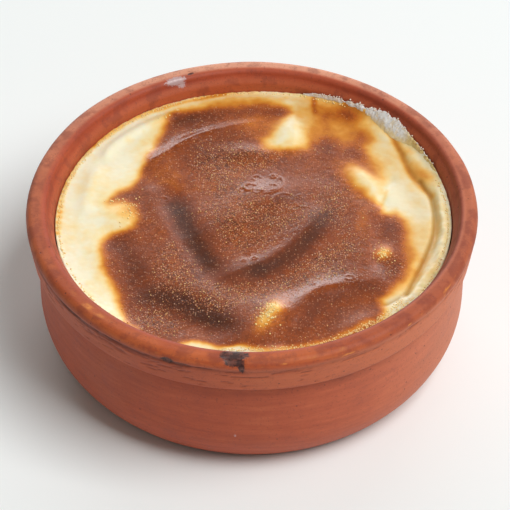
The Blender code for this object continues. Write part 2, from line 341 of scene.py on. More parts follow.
def respaced(points, spacing):
    # the same line with its points that far apart, the two ends kept
    points = np.array(points, float)
    along = np.concatenate([[0], np.cumsum(np.linalg.norm(np.diff(points, axis=0), axis=1))])
    count = max(1, round(along[-1] / spacing))
    places = np.linspace(0, along[-1], count + 1)
    return np.column_stack([np.interp(places, along, points[:, 0]), np.interp(places, along, points[:, 1])])


def waves(terms, angle):
    return sum(size * np.sin(count * angle + phase) for size, count, phase in terms)


def thrown(radius, height, angle, hollow):
    # a point of the turned shape, put out of round as the hand-thrown bowl is
    share = height / bowl["height"]
    uneven = radius + waves(bowl["outOfRound"], angle) * share * np.minimum(1.0, radius / bowl["footRadius"])
    lifted = height + waves(bowl["rimWave"], angle) * share**6
    return uneven * np.cos(angle) + bowl["hollowOffset"] * hollow, uneven * np.sin(angle), lifted


def addPiece(name, points, faces, material, attributes):
    mesh = bpy.data.meshes.new(name)
    mesh.from_pydata((np.asarray(points) * mm).tolist(), [], faces)
    mesh.validate()
    for label, values in attributes.items():
        layer = mesh.attributes.new(label, "FLOAT", "POINT")
        layer.data.foreach_set("value", np.asarray(values, np.float32))
    mesh.materials.append(material)
    mesh.shade_smooth()
    piece = bpy.data.objects.new(name, mesh)
    bpy.context.scene.collection.objects.link(piece)
    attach(piece, "root")
    print(name + ":", len(faces), "faces")
    return piece


def ringFaces(rings, segments):
    # quads between stacked rings of points, outward when the rings run up the outside
    faces = []
    for ring in range(rings - 1):
        low, high = ring * segments, (ring + 1) * segments
        for here in range(segments):
            after = (here + 1) % segments
            faces.append((low + here, low + after, high + after, high + here))
    return faces


# the small relief of the clay
clayRelief = {
    "throwingLines": 0.035,  # depth of the fine lines left by the wheel
    "lineSpacing": 1.15,
    "fineLines": 2.6,        # finer lines between them, for each millimetre
    "driftSize": 22,         # the lines come and go over this distance
    "lumps": (0.10, 16),     # slow hand-made unevenness: height, size
    "grain": (0.022, 1.3),
    "outerRadius": 57,       # the undercut and the scars lie outside this radius
    "undercut": 0.45,        # groove below the rim's roll, deepest at the front left
    "undercutHeight": 40.6,
    "undercutWidth": 0.55,
    "undercutShade": 0.7,    # half width of the shade painted in it
    "undercutWaver": 0.35,
    "scarDepth": 0.16,       # where the band under the rim has crumbled, most at the left
    "scarSize": (5.5, 0.75),  # along the band, up the band
    "scarRadius": 58,        # its noise is laid round the band at this radius
    "scarRange": (33.2, 34.2, 41.0, 41.8),  # heights between which it starts and ends
    "scarMost": (33.2, 39.6, 40.8, 41.6),   # and between which it is strongest
    "flakes": (40.3, 0.8),   # height and half width of the line of flakes under the rim
    "gilt": (42.7, 0.9),     # the same for the golden flakes on the rim
    "chipDepth": 0.3,
    "seenFrom": (1.0, 4.0),  # the relief starts between these heights
}

# what varies round the bowl: middle angle, spread in radians, sharpness
sides = {
    "undercut": (213.0, 0.8, 2),
    # the left, away from the key light: painted shade in the clay's colour; the band's crumbling is also most
    # here
    "leftSide": (233.0, 0.95, 2),
    "gilt": (-60.0, 0.9, 4),
    "bloom": (-14.0, 0.75, 2),  # where the clay is painted paler: painted light on the side the key light falls on
    "rimLeft": (185.0, 0.85, 2),
    # where the back of the rim top is painted with the back light's sheen
    "backSide": (98.0, 1.2, 2),
    "lipShade": (-28.0, 0.75, 4),
}

# marks on the rim: angle, radius, height, reach round, reach across
chips = {
    "frontTop": (-94.4, 56.9, 44.0, 3.7, 1.9),
    "frontLow": (-94.2, 58.6, 43.6, 2.6, 1.8),
    "frontDrip": (-92.2, 59.5, 42.3, 0.75, 2.3),
    "leftPit": (-111.0, 59.5, 41.3, 2.0, 1.2),
    "leftPitTail": (-107.0, 59.5, 41.2, 3.0, 0.6),
    "backEdge": (114.5, 60.2, 43.0, 6.0, 0.8),
    "backPit": (108.2, 56.4, 44.0, 1.1, 0.45),
}
smudges = {
    "backGlaze": (113.2, 55.0, 43.8, 3.4, 1.5),
    "backGlazeLow": (111.6, 54.0, 42.6, 1.5, 1.2),
    "whiteDot": (-90.7, 59.2, 41.2, 0.45, 0.45),
    "whiteFleck": (-94.2, 57.0, 14.6, 0.30, 0.9),
}
goldStains = {
    "frontRight": (-75.5, 58.9, 43.4, 2.6, 0.9),
    "frontRightNext": (-67.0, 58.9, 43.4, 2.0, 0.7),
    "leftRim": (-137.0, 57.4, 44.0, 9.0, 0.9),
}


def offTurn(angle, middle):
    # how far a turn in radians lies from a middle in degrees
    return (angle - math.radians(middle) + np.pi) % (2 * np.pi) - np.pi


def sideShare(name, angle):
    middle, spread, sharpness = sides[name]
    return bell(offTurn(angle, middle), 0, spread, sharpness)


def markAt(marks, angle, radius, height):
    # 1 in the middle of a mark, 0 at its edge and beyond
    top = 1.3
    total = np.zeros(np.broadcast(angle, radius).shape)
    for where, markRadius, markHeight, reachRound, reachAcross in marks.values():
        along = offTurn(angle, where) * markRadius / reachRound
        across = np.hypot(radius - markRadius, height - markHeight) / reachAcross
        total = np.maximum(total, top - np.hypot(along, across))
    return np.clip(total / top, 0, 1)


def outerLine():
    # the wall's cut from the edge of the underside over the rim to the pudding
    b = bowl
    line = [(b["undersideRadius"], 0.0)]
    for share in np.linspace(b["bellyStart"], 1, 33):
        inset = (b["bellyRadius"] - b["footRadius"]) * (1 - share) ** b["bellyCurve"]
        line.append((b["bellyRadius"] - inset, b["bellyHeight"] * share))
    for share in np.linspace(0, 1, 25)[1:]:
        inset = (b["bellyRadius"] - b["grooveRadius"]) * share ** b["neckCurve"]
        rise = (b["grooveHeight"] - b["bellyHeight"]) * share
        line.append((b["bellyRadius"] - inset, b["bellyHeight"] + rise))
    line.append((b["bandFootRadius"], b["grooveHeight"] + b["grooveStep"]))
    rim, lip = b["rimRound"], b["lipRound"]
    line += arc((b["rimRadius"] - rim, b["height"] - rim), (rim, rim), 0, 90)
    line += arc((b["rimRadius"] - b["rimWidth"] + lip, b["height"] - lip), (lip, lip), 90, 180)
    return line + [(b["hollowRadius"] + b["flare"], b["flareTop"]), (b["hollowRadius"], b["hollowWallTop"])]


def cavityLine():
    # the hollow's cut from the pudding to the middle of its floor
    b = bowl
    rise = b["hollowCornerRise"]
    reach = b["hollowRadius"] - b["hollowCornerInset"] - b["hollowFloorRadius"]
    corner = arc((b["hollowFloorRadius"], b["hollowFloor"] + rise), (reach, rise), 0, -90, 12)
    return [(b["hollowRadius"], b["hollowWallTop"])] + corner + [(b["middleRadius"], b["hollowFloor"])]


def bowlLine():
    # the whole cut, up the outside and down into the hollow, and how far each point belongs to the hollow
    b = bowl
    underside = respaced([(b["middleRadius"], 0.0), (b["undersideRadius"], 0.0)], b["hiddenStep"])
    outside = respaced(outerLine(), b["seenStep"])
    inside = respaced(cavityLine(), b["hiddenStep"])
    line = np.vstack([underside, outside[1:], inside[1:]])
    hollow = (np.arange(len(line)) >= len(underside) + len(outside) - 1) * 1.0
    top = len(underside) - 1 + int(np.argmax(outside[:, 1]))
    across = np.clip((b["rimRadius"] - 1.0 - line[:, 0]) / (b["rimWidth"] - 1.5), 0, 1)
    hollow[top:] = np.maximum(hollow[top:], across[top:])
    return line, hollow


def wheelMarks(x, y, z, angle):
    r = clayRelief
    drift = roughNoise(x, y, z, r["driftSize"], 2)
    lines = softNoise(z / r["lineSpacing"] + 0.25 * drift, np.cos(angle) * 1.6, np.sin(angle) * 1.6)
    fine = softNoise(z * r["fineLines"], np.cos(angle) * 3, np.sin(angle) * 3 + 9)
    return r["throwingLines"] * (lines + 0.5 * fine) * (0.55 + 0.9 * smoothStep(drift, -0.3, 0.4))


def undercut(z, angle, halfWidth):
    r = clayRelief
    deep = r["undercut"] * (0.25 + 0.75 * sideShare("undercut", angle))
    waver = r["undercutWaver"] * softNoise(np.cos(angle) * 2.5, np.sin(angle) * 2.5, 4.0)
    return deep * bell(z, r["undercutHeight"] + waver, halfWidth)


def bandDamage(z, angle):
    # how far the band has crumbled, and the golden flakes above it
    r = clayRelief
    along, upwards = r["scarSize"]
    turns = r["scarRadius"] / along
    crumbled = roughNoise(np.cos(angle) * turns, np.sin(angle) * turns, z / upwards, 1.0, 4, 0.62)
    left = 0.5 * sideShare("leftSide", angle) * (0.35 + 0.65 * between(z, *r["scarMost"]))
    flakes = smoothStep(crumbled, 0.08, 0.34) * bell(z, *r["flakes"])
    scar = np.maximum(smoothStep(crumbled - 0.46 + left, 0.0, 0.24), flakes) * between(z, *r["scarRange"])
    return scar, smoothStep(-crumbled, 0.12, 0.5) * bell(z, *r["gilt"]) * sideShare("gilt", angle)


def clayBump(x, y, z, chipped):
    # lumps, grain and chips
    r = clayRelief
    (lumpHeight, lumpSize), (grainHeight, grainSize) = r["lumps"], r["grain"]
    lumps = lumpHeight * roughNoise(x, y, z, lumpSize, 2)
    grain = grainHeight * roughNoise(x, y, z, grainSize, 2, 0.6)
    ragged = 0.25 * roughNoise(x, y, z, 1.4, 2, 0.6)
    return lumps + grain - r["chipDepth"] * smoothStep(chipped + ragged, 0.15, 0.5)


def makeBowl():
    r = clayRelief
    segments = bowl["segments"]
    line, hollow = bowlLine()
    radius, height, hollow = line[:, :1], line[:, 1:], hollow[:, None]
    angle = (2 * np.pi * np.arange(segments) / segments)[None, :]
    x, y, z = thrown(radius, height, angle, hollow)
    whole = np.ones_like(x)
    outside = whole * (hollow < 0.5)
    outer = radius > r["outerRadius"]
    chipped = markAt(chips, angle, radius, height)
    scar, gilt = bandDamage(z, angle)
    scar = scar * outside * outer
    bump = wheelMarks(x, y, z, angle) * outside + clayBump(x, y, z, chipped)
    bump = bump - undercut(z, angle, r["undercutWidth"]) * outside * outer - r["scarDepth"] * scar
    bump = bump * smoothStep(height, *r["seenFrom"]) * (hollow < 1.0)
    tangent = np.gradient(line, axis=0)
    tangent /= np.maximum(np.linalg.norm(tangent, axis=1), 1e-9)[:, None]
    outward, upward = tangent[:, 1:] * bump, -tangent[:, :1] * bump
    x, y, z = x + outward * np.cos(angle), y + outward * np.sin(angle), z + upward
    faces = ringFaces(len(line), segments)
    last = (len(line) - 1) * segments
    faces += [tuple(range(segments - 1, -1, -1)), tuple(range(last, last + segments))]
    paints = {"burn": chipped, "hollow": hollow, "scar": scar,
              "smudge": markAt(smudges, angle, radius, height),
              "stain": np.maximum(markAt(goldStains, angle, radius, height), gilt * outer),
              # painted shade in the undercut under the rim
              "groove": undercut(z, angle, r["undercutShade"]) * outside * outer}
    for name in ("bloom", "leftSide", "rimLeft", "backSide", "lipShade"):
        paints[name] = sideShare(name, angle)
    paints = {name: (values * whole).ravel() for name, values in paints.items()}
    points = np.column_stack([x.ravel(), y.ravel(), z.ravel()])
    piece = addPiece("clayBowl", points, faces, terracotta(), paints)
    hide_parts("clay_bowl")


clayColours = {
    "body": ((0.38, shown(158, 66, 40)), (0.47, shown(178, 77, 44)), (0.55, shown(191, 87, 51)),
             (0.66, shown(212, 108, 67))),
    # painted light: the paler colour of the side the key light falls on
    "bloom": shown(222, 147, 112),
    # painted shade on the side away from the key light
    "leftSide": shown(142, 64, 42),
    "bandDust": shown(212, 116, 70),
    "scar": shown(118, 50, 34),
    "rimDark": shown(174, 77, 33),
    "rimLight": shown(200, 102, 46),
    # painted sheen of the back light on the rim top
    "rimSheen": shown(240, 184, 152),
    "rimLeft": shown(152, 70, 28),
    # painted shade on the inner half of the rim top at the front right
    "rimShade": shown(148, 62, 26),
    "inside": shown(146, 58, 40),
    "patches": shown(132, 56, 40),
    "specks": shown(116, 58, 46),
    "gold": shown(232, 146, 66),
    # painted shade in the undercut
    "groove": shown(94, 42, 32),
    "pores": shown(88, 44, 36),
    "sootDark": shown(58, 26, 22),
    "sootLight": shown(108, 58, 46),
    "smudge": shown(196, 178, 180),
}


def terracotta():
    clay = Finish("terracotta")
    tints = clayColours
    where = clay.place()
    height = clay.split(where).out("Z")
    flatter = clay.node("ShaderNodeMapping", {"vector_type": "POINT"}, {"Vector": where, "Scale": (1, 1, 9)})
    cloud = clay.noise(where, 24, 4.0, 0.55)
    mottle = clay.noise(where, 5.0, 5.0, 0.62)
    speck = clay.noise(where, 0.6, 2.0, 0.7)
    streak = clay.noise(flatter, 13, 5.0, 0.62)
    dash = clay.noise(flatter, 6.5, 4.0, 0.66)
    leftSide, lipShade, hollow = (clay.painted(name) for name in ("leftSide", "lipShade", "hollow"))
    colour = clay.ramp(0.36 * cloud + 0.30 * mottle + 0.34 * streak, tints["body"])
    # painted light: the side the key light falls on painted paler
    colour = clay.blend(clay.painted("bloom") * (0.25 + 0.5 * mottle), colour, tints["bloom"])
    # painted shade: the side away from the key light painted darker
    colour = clay.blend(leftSide * cloud.rise(0.35, 0.65) * 0.4, colour, tints["leftSide"])
    band = height.rise(0.0325, 0.034) * (1 - height.rise(0.0412, 0.0424))
    # the band's paler dust is left off the left side, as painted shade there
    colour = clay.blend(band * (0.25 + 0.6 * mottle) * (1 - 0.85 * leftSide), colour, tints["bandDust"])
    broken = (clay.painted("scar") * (0.55 + 0.9 * dash)).least(1.0)
    colour = clay.blend(broken * 0.62, colour, tints["scar"])
    rim = clay.blend(streak.rise(0.35, 0.65), tints["rimDark"], tints["rimLight"])
    # painted sheen: the back of the rim top painted pale pink
    rim = clay.blend(clay.painted("backSide") * (0.4 + 0.7 * streak), rim, tints["rimSheen"])
    rim = clay.blend(clay.painted("rimLeft") * (0.3 + 0.5 * mottle), rim, tints["rimLeft"])
    # painted shade on the lip's inner side at the front right
    rim = clay.blend(lipShade * 0.7, rim, tints["rimShade"])
    rimShare = height.rise(0.0412, 0.0428) * (1 - hollow.rise(0.5, 0.9))
    colour = clay.blend(rimShare * (0.5 + 0.5 * mottle), colour, rim)
    inner = hollow.rise(0.55, 1.0) ** 2
    # the hollow painted a darker red, most at the front right, where it is painted shade under the lip
    colour = clay.blend(inner * (0.30 + 0.50 * lipShade), colour, tints["inside"])
    patches = mottle.rise(0.46, 0.62) * (0.10 + 0.42 * rimShare.most(inner))
    colour = clay.blend(patches, colour, tints["patches"])
    colour = clay.blend(speck.rise(0.58, 0.70) * 0.45, colour, tints["specks"])
    gold = clay.painted("stain").rise(0.1, 0.7) * mottle.rise(0.42, 0.66) * 0.8
    colour = clay.blend(gold, colour, tints["gold"])
    # painted shade in the undercut, broken along the dashes
    shade = (clay.painted("groove") * 2.4 * dash.rise(0.30, 0.55)).least(0.85)
    colour = clay.blend(shade, colour, tints["groove"])
    pores = clay.cells(where, 2.4)
    chance = clay.split(pores.out("Color")).out("X")
    pore = (1 - pores.out("Distance").rise(0.05, 0.14)) * chance.rise(0.80, 0.84)
    colour = clay.blend(pore * 0.7, colour, tints["pores"])
    # soot in the chips and specks of glaze, both with ragged edges
    burn = clay.painted("burn")
    burnt = burn.rise(0.02, 0.06) * (burn + (mottle - 0.5) * 0.5 + (speck - 0.5) * 0.4).rise(0.18, 0.36)
    sooty = clay.noise(where, 1.3, 3.0, 0.6).rise(0.38, 0.62)
    colour = clay.blend(burnt, colour, clay.blend(sooty, tints["sootDark"], tints["sootLight"]))
    smudged = clay.painted("smudge")
    smudge = smudged.rise(0.02, 0.06) * (smudged + (speck - 0.5) * 0.7).rise(0.2, 0.5)
    colour = clay.blend(smudge * 0.75, colour, tints["smudge"])
    rough = 0.46 + 0.30 * mottle - 0.15 * burnt - 0.3 * smudge
    relief = speck * 0.6 + mottle * 0.6 + streak * 0.5 - pore * 1.6 - broken * 1.2
    return clay.surface({"Base Color": colour, "Roughness": rough, "Normal": clay.bump(relief, 0.6, 0.14),
                         "Specular IOR Level": 0.5})


# the edge of the browned skin, clockwise from the back left: x, y, half width of the change
brownEdge = (
    (-22.5, 42.3, 1.0), (-18, 44.6, 1.2), (-11, 45.9, 1.6), (-3, 46.6, 1.8), (5, 46.2, 1.6), (9.5, 44.8, 1.0),
    (10.2, 42.8, 0.9), (7.9, 38.6, 1.3), (5.4, 35.0, 1.6), (3.4, 31.8, 1.7), (3.8, 28.8, 1.6),
    (7.0, 26.6, 1.4), (11.0, 26.2, 1.3), (14.6, 28.2, 1.5), (16.6, 32, 1.8), (17.2, 37, 1.5),
    (17.4, 42, 1.4), (18, 46.5, 1.5), (22, 47.5, 2.0),
    (27, 46.6, 2.0), (31.5, 43.5, 1.6), (34, 38.6, 1.4), (33, 33.2, 1.6), (31, 29.2, 1.6), (31.6, 25, 1.5),
    (34, 21, 1.4), (35.2, 16.5, 1.4), (35.4, 11, 0.9), (34.6, 6.5, 0.9), (35.6, 3.4, 1.3), (38.4, 2.6, 1.4),
    (40.5, -0.5, 1.5), (41.2, -6, 1.6), (42.0, -12.5, 1.7), (41.6, -18.5, 1.6), (39.6, -23, 1.5),
    (36.6, -26.8, 1.3), (34.4, -30.4, 1.1), (34.2, -35, 1.0), (33, -40.5, 0.8), (25, -46.2, 0.8),
    (14, -50.0, 0.8), (4, -50.6, 0.9), (-4, -48.8, 0.6), (-10, -47.4, 0.6), (-15, -45.9, 0.6),
    (-20, -47.6, 0.7), (-27, -44.5, 0.8), (-31.4, -39.4, 0.9), (-33.2, -35, 1.0), (-35, -29, 1.1),
    (-36.6, -24, 1.2), (-38.6, -18, 1.1), (-39.6, -12, 1.0), (-39.2, -8, 0.9), (-37, -5.8, 0.8),
    (-33.6, -4.8, 0.8), (-31.2, -3, 0.8), (-30.4, 1, 0.8), (-31.4, 5.2, 0.9), (-33.8, 7.4, 1.0),
    (-36.6, 8.0, 1.2), (-35.6, 10.4, 1.1), (-32.6, 13, 1.0), (-30.6, 16.6, 0.9), (-29.8, 20.6, 0.8),
    (-28.8, 24.4, 0.8), (-26.8, 28.4, 0.9), (-25.6, 32.6, 1.0), (-24.4, 36.6, 1.0),
)

# browner (above 0) or paler places: x, y, half widths, turn, change
toasts = {
    "darkBack": (-16, 40.5, 6, 2.4, 10, 0.10),
    "backStrip": (-4, 52, 17, 2.4, 0, 0.13),
    "backBrown": (-2, 45, 14, 2.6, 2, -0.02),
    "backStripRight": (16.5, 49, 4.0, 3.6, 0, 0.17),
    "goldLeftEdge": (-28.5, 33, 2.4, 8, -18, 0.06),
    "creamMiddle": (14.5, 38, 3.0, 6, 0, 0.13),
    "creamFoot": (11, 27.4, 5, 1.8, 12, 0.10),
    "creamWhole": (10, 34, 5, 7, 0, 0.05),
    "oliveTop": (22, 47.0, 7, 4.4, -22, -0.28),
    "oliveRight": (31, 41, 3.2, 5.5, 35, -0.23),
    "creamRight": (37, 26, 5, 9, 25, 0.09),
    "creamRightLow": (47, -6, 3.5, 14, 0, 0.07),
    "brownSpotRight": (36.5, -3.5, 3.4, 4.5, 0, 0.05),
    "brownSpotLow": (37, -20, 3.4, 4.5, 0, 0.08),
    "blisterTail": (2.6, -41.5, 2.2, 3.0, -20, -0.28),
    "dullMiddle": (-13, 27, 7, 6, 0, 0.05),
    "orangeBack": (2, 39.2, 9, 3.6, 4, -0.18),
    "orangeBackLow": (1, 34, 6, 3, 0, -0.08),
    "orangeRight": (24, 36.0, 7, 6, 10, -0.32),
    "spotRight": (26.8, 42.8, 3.8, 2.4, -30, 0.26),
    "spotMiddle": (20.8, 29.8, 3.2, 3.2, -20, 0.14),
    "spotLow": (28, 26.4, 4, 1.6, -20, 0.04),
    "orangeLow": (25, 31, 5, 3.5, 0, -0.10),
    "paleBlister": (29.8, 16.6, 4.2, 6.8, 33, -0.62),
    "paleTail": (33.2, 9.6, 2.2, 4.8, 14, -0.40),
    "rightBank": (29.6, -2, 2.6, 12, 6, -0.10),
    "blisterRight": (35, -12.8, 2.0, 2.6, -10, -0.42),
    "blisterFront": (5.6, -36.4, 2.7, 5.2, -20, -0.52),
    "darkTrough": (17, -36, 4.5, 6, -20, 0.03),
    "centreBrown": (10, 7.5, 7, 3.2, 10, 0.08),
    "warmLeft": (-22, 16, 7, 6, 0, -0.07),
    "warmLeftHigh": (-24, 22, 5, 4, 0, -0.04),
    "goldLeft": (-33, 31, 3.0, 3.2, -20, 0.04),
    "paleLeft": (-38, 30, 5, 14, -40, -0.06),
    "columnTop": (13.2, 41, 2.6, 3, 0, 0.08),
    "triangleMiddle": (8.2, 35, 2.2, 4.6, -24, -0.06),
    "triangleFoot": (10.5, 26.8, 4.5, 1.6, 8, 0.07),
    "columnOlive": (13.6, 43.8, 3.2, 2.6, 0, 0.12),
    "columnEdge": (16.6, 35, 1.5, 5.5, 0, 0.12),
    "goldTop": (20, 47.8, 4.2, 2.4, -15, 0.13),
    "goldRightEdge": (32, 37, 3.2, 6.5, 30, -0.13),
    "goldPatch": (31.5, 21.5, 2.4, 4.5, 30, 0.05),
    "backGold": (1, 48.4, 13, 1.5, 2, 0.10),
    "goldLobe": (-36, 2.5, 4.0, 5.0, 0, 0.09),
    "goldLobeEdge": (-38.0, 6.5, 3.5, 1.6, 0, 0.10),
    "goldLobeRight": (-32.8, 3.0, 2.4, 5, 0, 0.17),
    "goldLobeTop": (-36.0, 6.4, 4.0, 1.8, 10, 0.10),
    "creamTriangle": (8.4, 36, 2.4, 5, -24, 0.02),
    "blushRight": (47, 18, 2.2, 4.4, 30, 0.24),
    "blushCreamRight": (41.5, 24, 1.7, 6, 25, 0.06),
}

# lines drawn in the skin where it creased: change, half width, points
creaseStains = {
    # the next three are browner along the creases in the cream, partly as painted shade in them
    "longCrease": (0.17, 1.0, ((36.5, 37.8), (39.1, 31.6), (40.8, 26.7), (42.3, 21.4), (44.6, 16.2),
                               (48.5, 10.6))),
    "wallCrease": (0.10, 0.9, ((48.7, 10.4), (49.6, 2), (48.8, -6.4), (45.6, -16.1), (42.7, -23.7),
                               (40.4, -28.4))),
    "shortCrease": (0.12, 0.7, ((36.6, 12.4), (35.2, 7.8), (33.8, 4.1))),
    "goldBehindTorn": (0.11, 1.7, ((24, 47.5), (31, 42.5), (35.5, 37.5), (39.5, 32), (43, 26), (46, 18))),
    "goldLeftWall": (0.24, 0.9, ((-8, 51.5), (-18.7, 48.0), (-25.2, 45.0), (-32, 41), (-38, 35.4),
                                 (-43.4, 29.4))),
    "goldLeftWallLow": (0.20, 0.9, ((-43.4, 29.4), (-48.4, 19.7), (-51.0, 8.6), (-51.7, -6))),
    "backCrease": (0.20, 0.8, ((17.2, 51), (17.0, 47), (17.3, 43))),
    "leftBand": (0.30, 3.1, ((-20.4, 7), (-18.8, 1), (-16.6, -6), (-13.8, -12.4), (-10.8, -17.6))),
    "rightBand": (0.26, 2.9, ((20, 3), (18.5, -3), (15, -9), (10.5, -14.5), (5, -19), (0, -21.6))),
    "goldRightWall": (0.05, 0.9, ((50.9, 9), (52.1, 0), (50.9, -10), (47.4, -21), (43.4, -29.4))),
    "frontWallGold": (-0.24, 1.2, ((-6, -49.6), (2, -50), (10, -49), (18, -46.6), (25, -43.2),
                                   (31, -38.6))),
    "frontStep": (0.09, 2.6, ((31, -26.5), (23, -29), (16.5, -33), (14.5, -38), (12, -43))),
    "vee": (0.11, 3.0, ((-11.2, -18), (-8.4, -21.4), (-5, -23.2), (0.5, -22.6), (4, -20.4))),
    "frontLeftBand": (0.32, 3.6, ((-25, -28), (-17, -33), (-11, -37.5), (-4, -41))),
    "leftGutter": (0.14, 3.2, ((-37, -8), (-32, -15), (-30, -24), (-27, -31))),
    "backBand": (0.05, 2.2, ((-21, 38), (-15, 41.5), (-6, 43.5), (4, 45), (9, 43.5))),
}

# where the skin is full of tiny bubbles: x, y, half widths, turn, how full
bubbleFields = {
    "middle": (-3, -2, 9, 12, 10, 1.0),
    "middleRight": (9, 0, 10, 6, 20, 0.9),
    "upperMiddle": (-10, 20, 9, 13, 20, 0.75),
    "top": (0, 24, 12, 6, 0, 0.7),
    "rightArc": (23, 4, 5, 13, 5, 0.9),
    "rightLow": (17, -16, 12, 4.5, 33, 1.0),
    "lip": (18, -22, 9, 3.4, 18, 1.1),
    "front": (0, -27, 11, 5, 10, 1.0),
    "frontLeft": (-14, -30, 12, 6, -25, 1.0),
    "leftLow": (-21, -17, 7, 10, 20, 0.75),
    "leftEdge": (-25, -38, 8, 5, -35, 1.0),
    "blister": (4.4, -37, 3.4, 5.4, -20, 1.0),
    "lobe": (-33, 1, 4, 6, 0, 0.5),
    "rightSpot": (36, -17, 4, 6, 0, 0.6),
}
smoothFields = {
    "leftBand": (-17, -3, 3.8, 12, 28, 1.0),
    "slope": (12, -14, 3.2, 15, -48, 1.0),
    "vee": (-5, -22.6, 7, 3.0, -8, 0.7),
    "leftHollow": (-33, -17, 5.5, 12, 12, 1.0),
    "upperLeft": (-24, 18, 6, 8, 0, 0.7),
    "streak": (-21, 31, 4, 12, -50, 1.0),
    "trough": (18, -36, 5, 8, -20, 0.8),
    "rise": (28, -38, 6, 5, 30, 0.8),
    "highlight": (4.5, 14, 4.5, 3.6, 20, 0.9),
}

# where the skin is glossier, or duller below 0: how much, half width, points
wetLines = {
    "backStreak": (1.1, 3.0, ((-28, 24), (-25, 26.4), (-22, 29), (-19, 31.6), (-16, 33.8), (-11, 36))),
    "highlight": (1.0, 3.4, ((-1, 11), (3, 13), (7, 15))),
    "innerBand": (0.6, 2.4, ((-3, -16.6), (4, -12.6), (9, -8.6), (13, -4))),
    "lip": (1.0, 3.2, ((29, -22), (24, -23.5), (19, -25), (14, -27.5), (10, -31), (8, -36))),
    "rise": (-0.7, 3.0, ((29, -35), (25.5, -37), (22, -39.2))),
    "leftTop": (-1.2, 3.0, ((-21.6, 7), (-20, 2), (-18, -4))),
    "rightTop": (-1.2, 3.0, ((21, 6), (20, 1.5), (18, -3))),
    "vee": (-0.8, 3.0, ((-10, -21), (-6, -24), (-1, -24))),
}

# sharp creases in the cream, with shade painted dark brown in their bottoms: depth, half width, points
shadedCreases = {
    "wallFold": (0.34, 0.62, ((45.3, 17.0), (46.4, 14.2), (47.9, 10.6), (48.6, 5.6), (48.7, 0.4),
                              (48.2, -5), (46.6, -11), (44.4, -17.4), (42.2, -23.2), (40.4, -27.6))),
    "wallFoldTop": (0.16, 0.8, ((36.9, 37), (39.2, 31.4), (41.0, 26.4), (42.6, 21.2), (44.9, 16.4))),
    "flapFold": (0.22, 0.6, ((40.4, -27.6), (37.8, -30.4), (34.8, -32.6))),
}

# where the cream is painted greener and darker: painted shade in hollows that face away from the key light,
# and the olive tone of deep cream
shadeAndOliveFields = {
    "right": (38, 25, 6, 16, 25, 0.9),
    "rightPool": (44, 4, 5, 12, 0, 0.45),
    "rightLow": (45, -10, 5, 12, 0, 0.75),
    "column": (14, 42, 3.4, 6, 0, 1.1),
    "flap": (38, -31, 5, 5, 40, 0.8),
    "back": (-5, 49, 20, 3, 0, 0.3),
    "patch": (29, 18, 4, 7, 30, 0.5),
    "triangleFace": (7.5, 36, 3.2, 5.5, -24, 0.15),
    "olive": (22, 45, 8, 6, 0, 0.9),
    "orange": (25, 36, 7, 6, 0, 0.35),
}

# rims left by big bubbles that have fallen: centre x, y, radius, from and to angle, height
bubbleRims = {
    "big": (3.4, 13.6, 5.0, -100, 40, 0.22),
    "bigInner": (3.6, 13.4, 3.9, -130, 10, 0.16),
    "leftOfBig": (-0.6, 11.6, 1.5, 20, 330, 0.20),
    "leftmost": (-2.6, 10.6, 0.9, -60, 240, 0.18),
    "underBig": (1.4, 9.8, 1.2, 150, 420, 0.16),
    "insideBig": (5.6, 11.4, 1.4, -120, 130, 0.16),
    "aboveBig": (1.2, 15.8, 1.1, -20, 260, 0.14),
    "lowLeft": (9.0, 5.6, 3.4, 60, 250, 0.14),
    "lowRight": (14.0, 6.4, 2.6, 100, 300, 0.12),
    "small": (5.6, 16.6, 0.62, 0, 360, 0.26),
    "front": (0.7, -16.4, 0.55, 0, 360, 0.22),
    "frontLow": (-2.1, -17.2, 0.45, 0, 360, 0.20),
    "right": (25.6, -23.4, 1.0, 0, 360, 0.12),
    "rightHole": (16.1, -25.8, 0.5, 0, 360, 0.22),
    "left": (-23.4, 7.8, 0.9, -60, 120, 0.16),
}

# the fine relief of the skin: height, noise size
skinRelief = {
    "rumples": (0.10, 7),
    "pores": (0.035, 1.6),
    "froth": (0.07, 0.75),         # only among the bubbles
    "crinkle": (0.28, 1.5),        # close to the wall
    "stripWaves": (0.42, 2.7),     # on the strip of skin along the right wall
    "strip": (-8, 26, 3.6),        # its middle angle, spread and width
    "smallRim": 1.2,               # a bubble's rim of less radius is finer and has a dimple
}


def smoothLine(points, steps):
    # a smooth curve through the points, and how long each of its steps is
    ends = np.array(points, float)
    padded = np.vstack([2 * ends[0] - ends[1], ends, 2 * ends[-1] - ends[-2]])
    samples = []
    for first in range(len(ends) - 1):
        a, b, c, d = padded[first : first + 4]
        for step in range(steps):
            t = step / steps
            samples.append(0.5 * (2 * b + (c - a) * t + (2 * a - 5 * b + 4 * c - d) * t**2
                                  + (3 * b - a - 3 * c + d) * t**3))
    samples = np.array(samples + [ends[-1]])
    return samples, np.linalg.norm(np.gradient(samples, axis=0), axis=1)


def swellHeight(x, y, centreX, centreY, halfX, halfY, turn, height):
    angle = math.radians(turn)
    along = (x - centreX) * math.cos(angle) + (y - centreY) * math.sin(angle)
    across = (y - centreY) * math.cos(angle) - (x - centreX) * math.sin(angle)
    return height * np.exp(-((along / halfX) ** 2) - (across / halfY) ** 2)


def foldHeight(x, y, height, halfWidth, points):
    line, lengths = smoothLine(points, pudding["foldSteps"])
    total = np.zeros(x.shape)
    for place, length in zip(line, lengths):
        total += length * np.exp(-((x - place[0]) ** 2 + (y - place[1]) ** 2) / halfWidth**2)
    return height * total / (halfWidth * math.sqrt(math.pi))


def allOf(shape, table, x, y):
    # the heights of every row of a table added up
    return sum(shape(x, y, *row) for row in table.values())


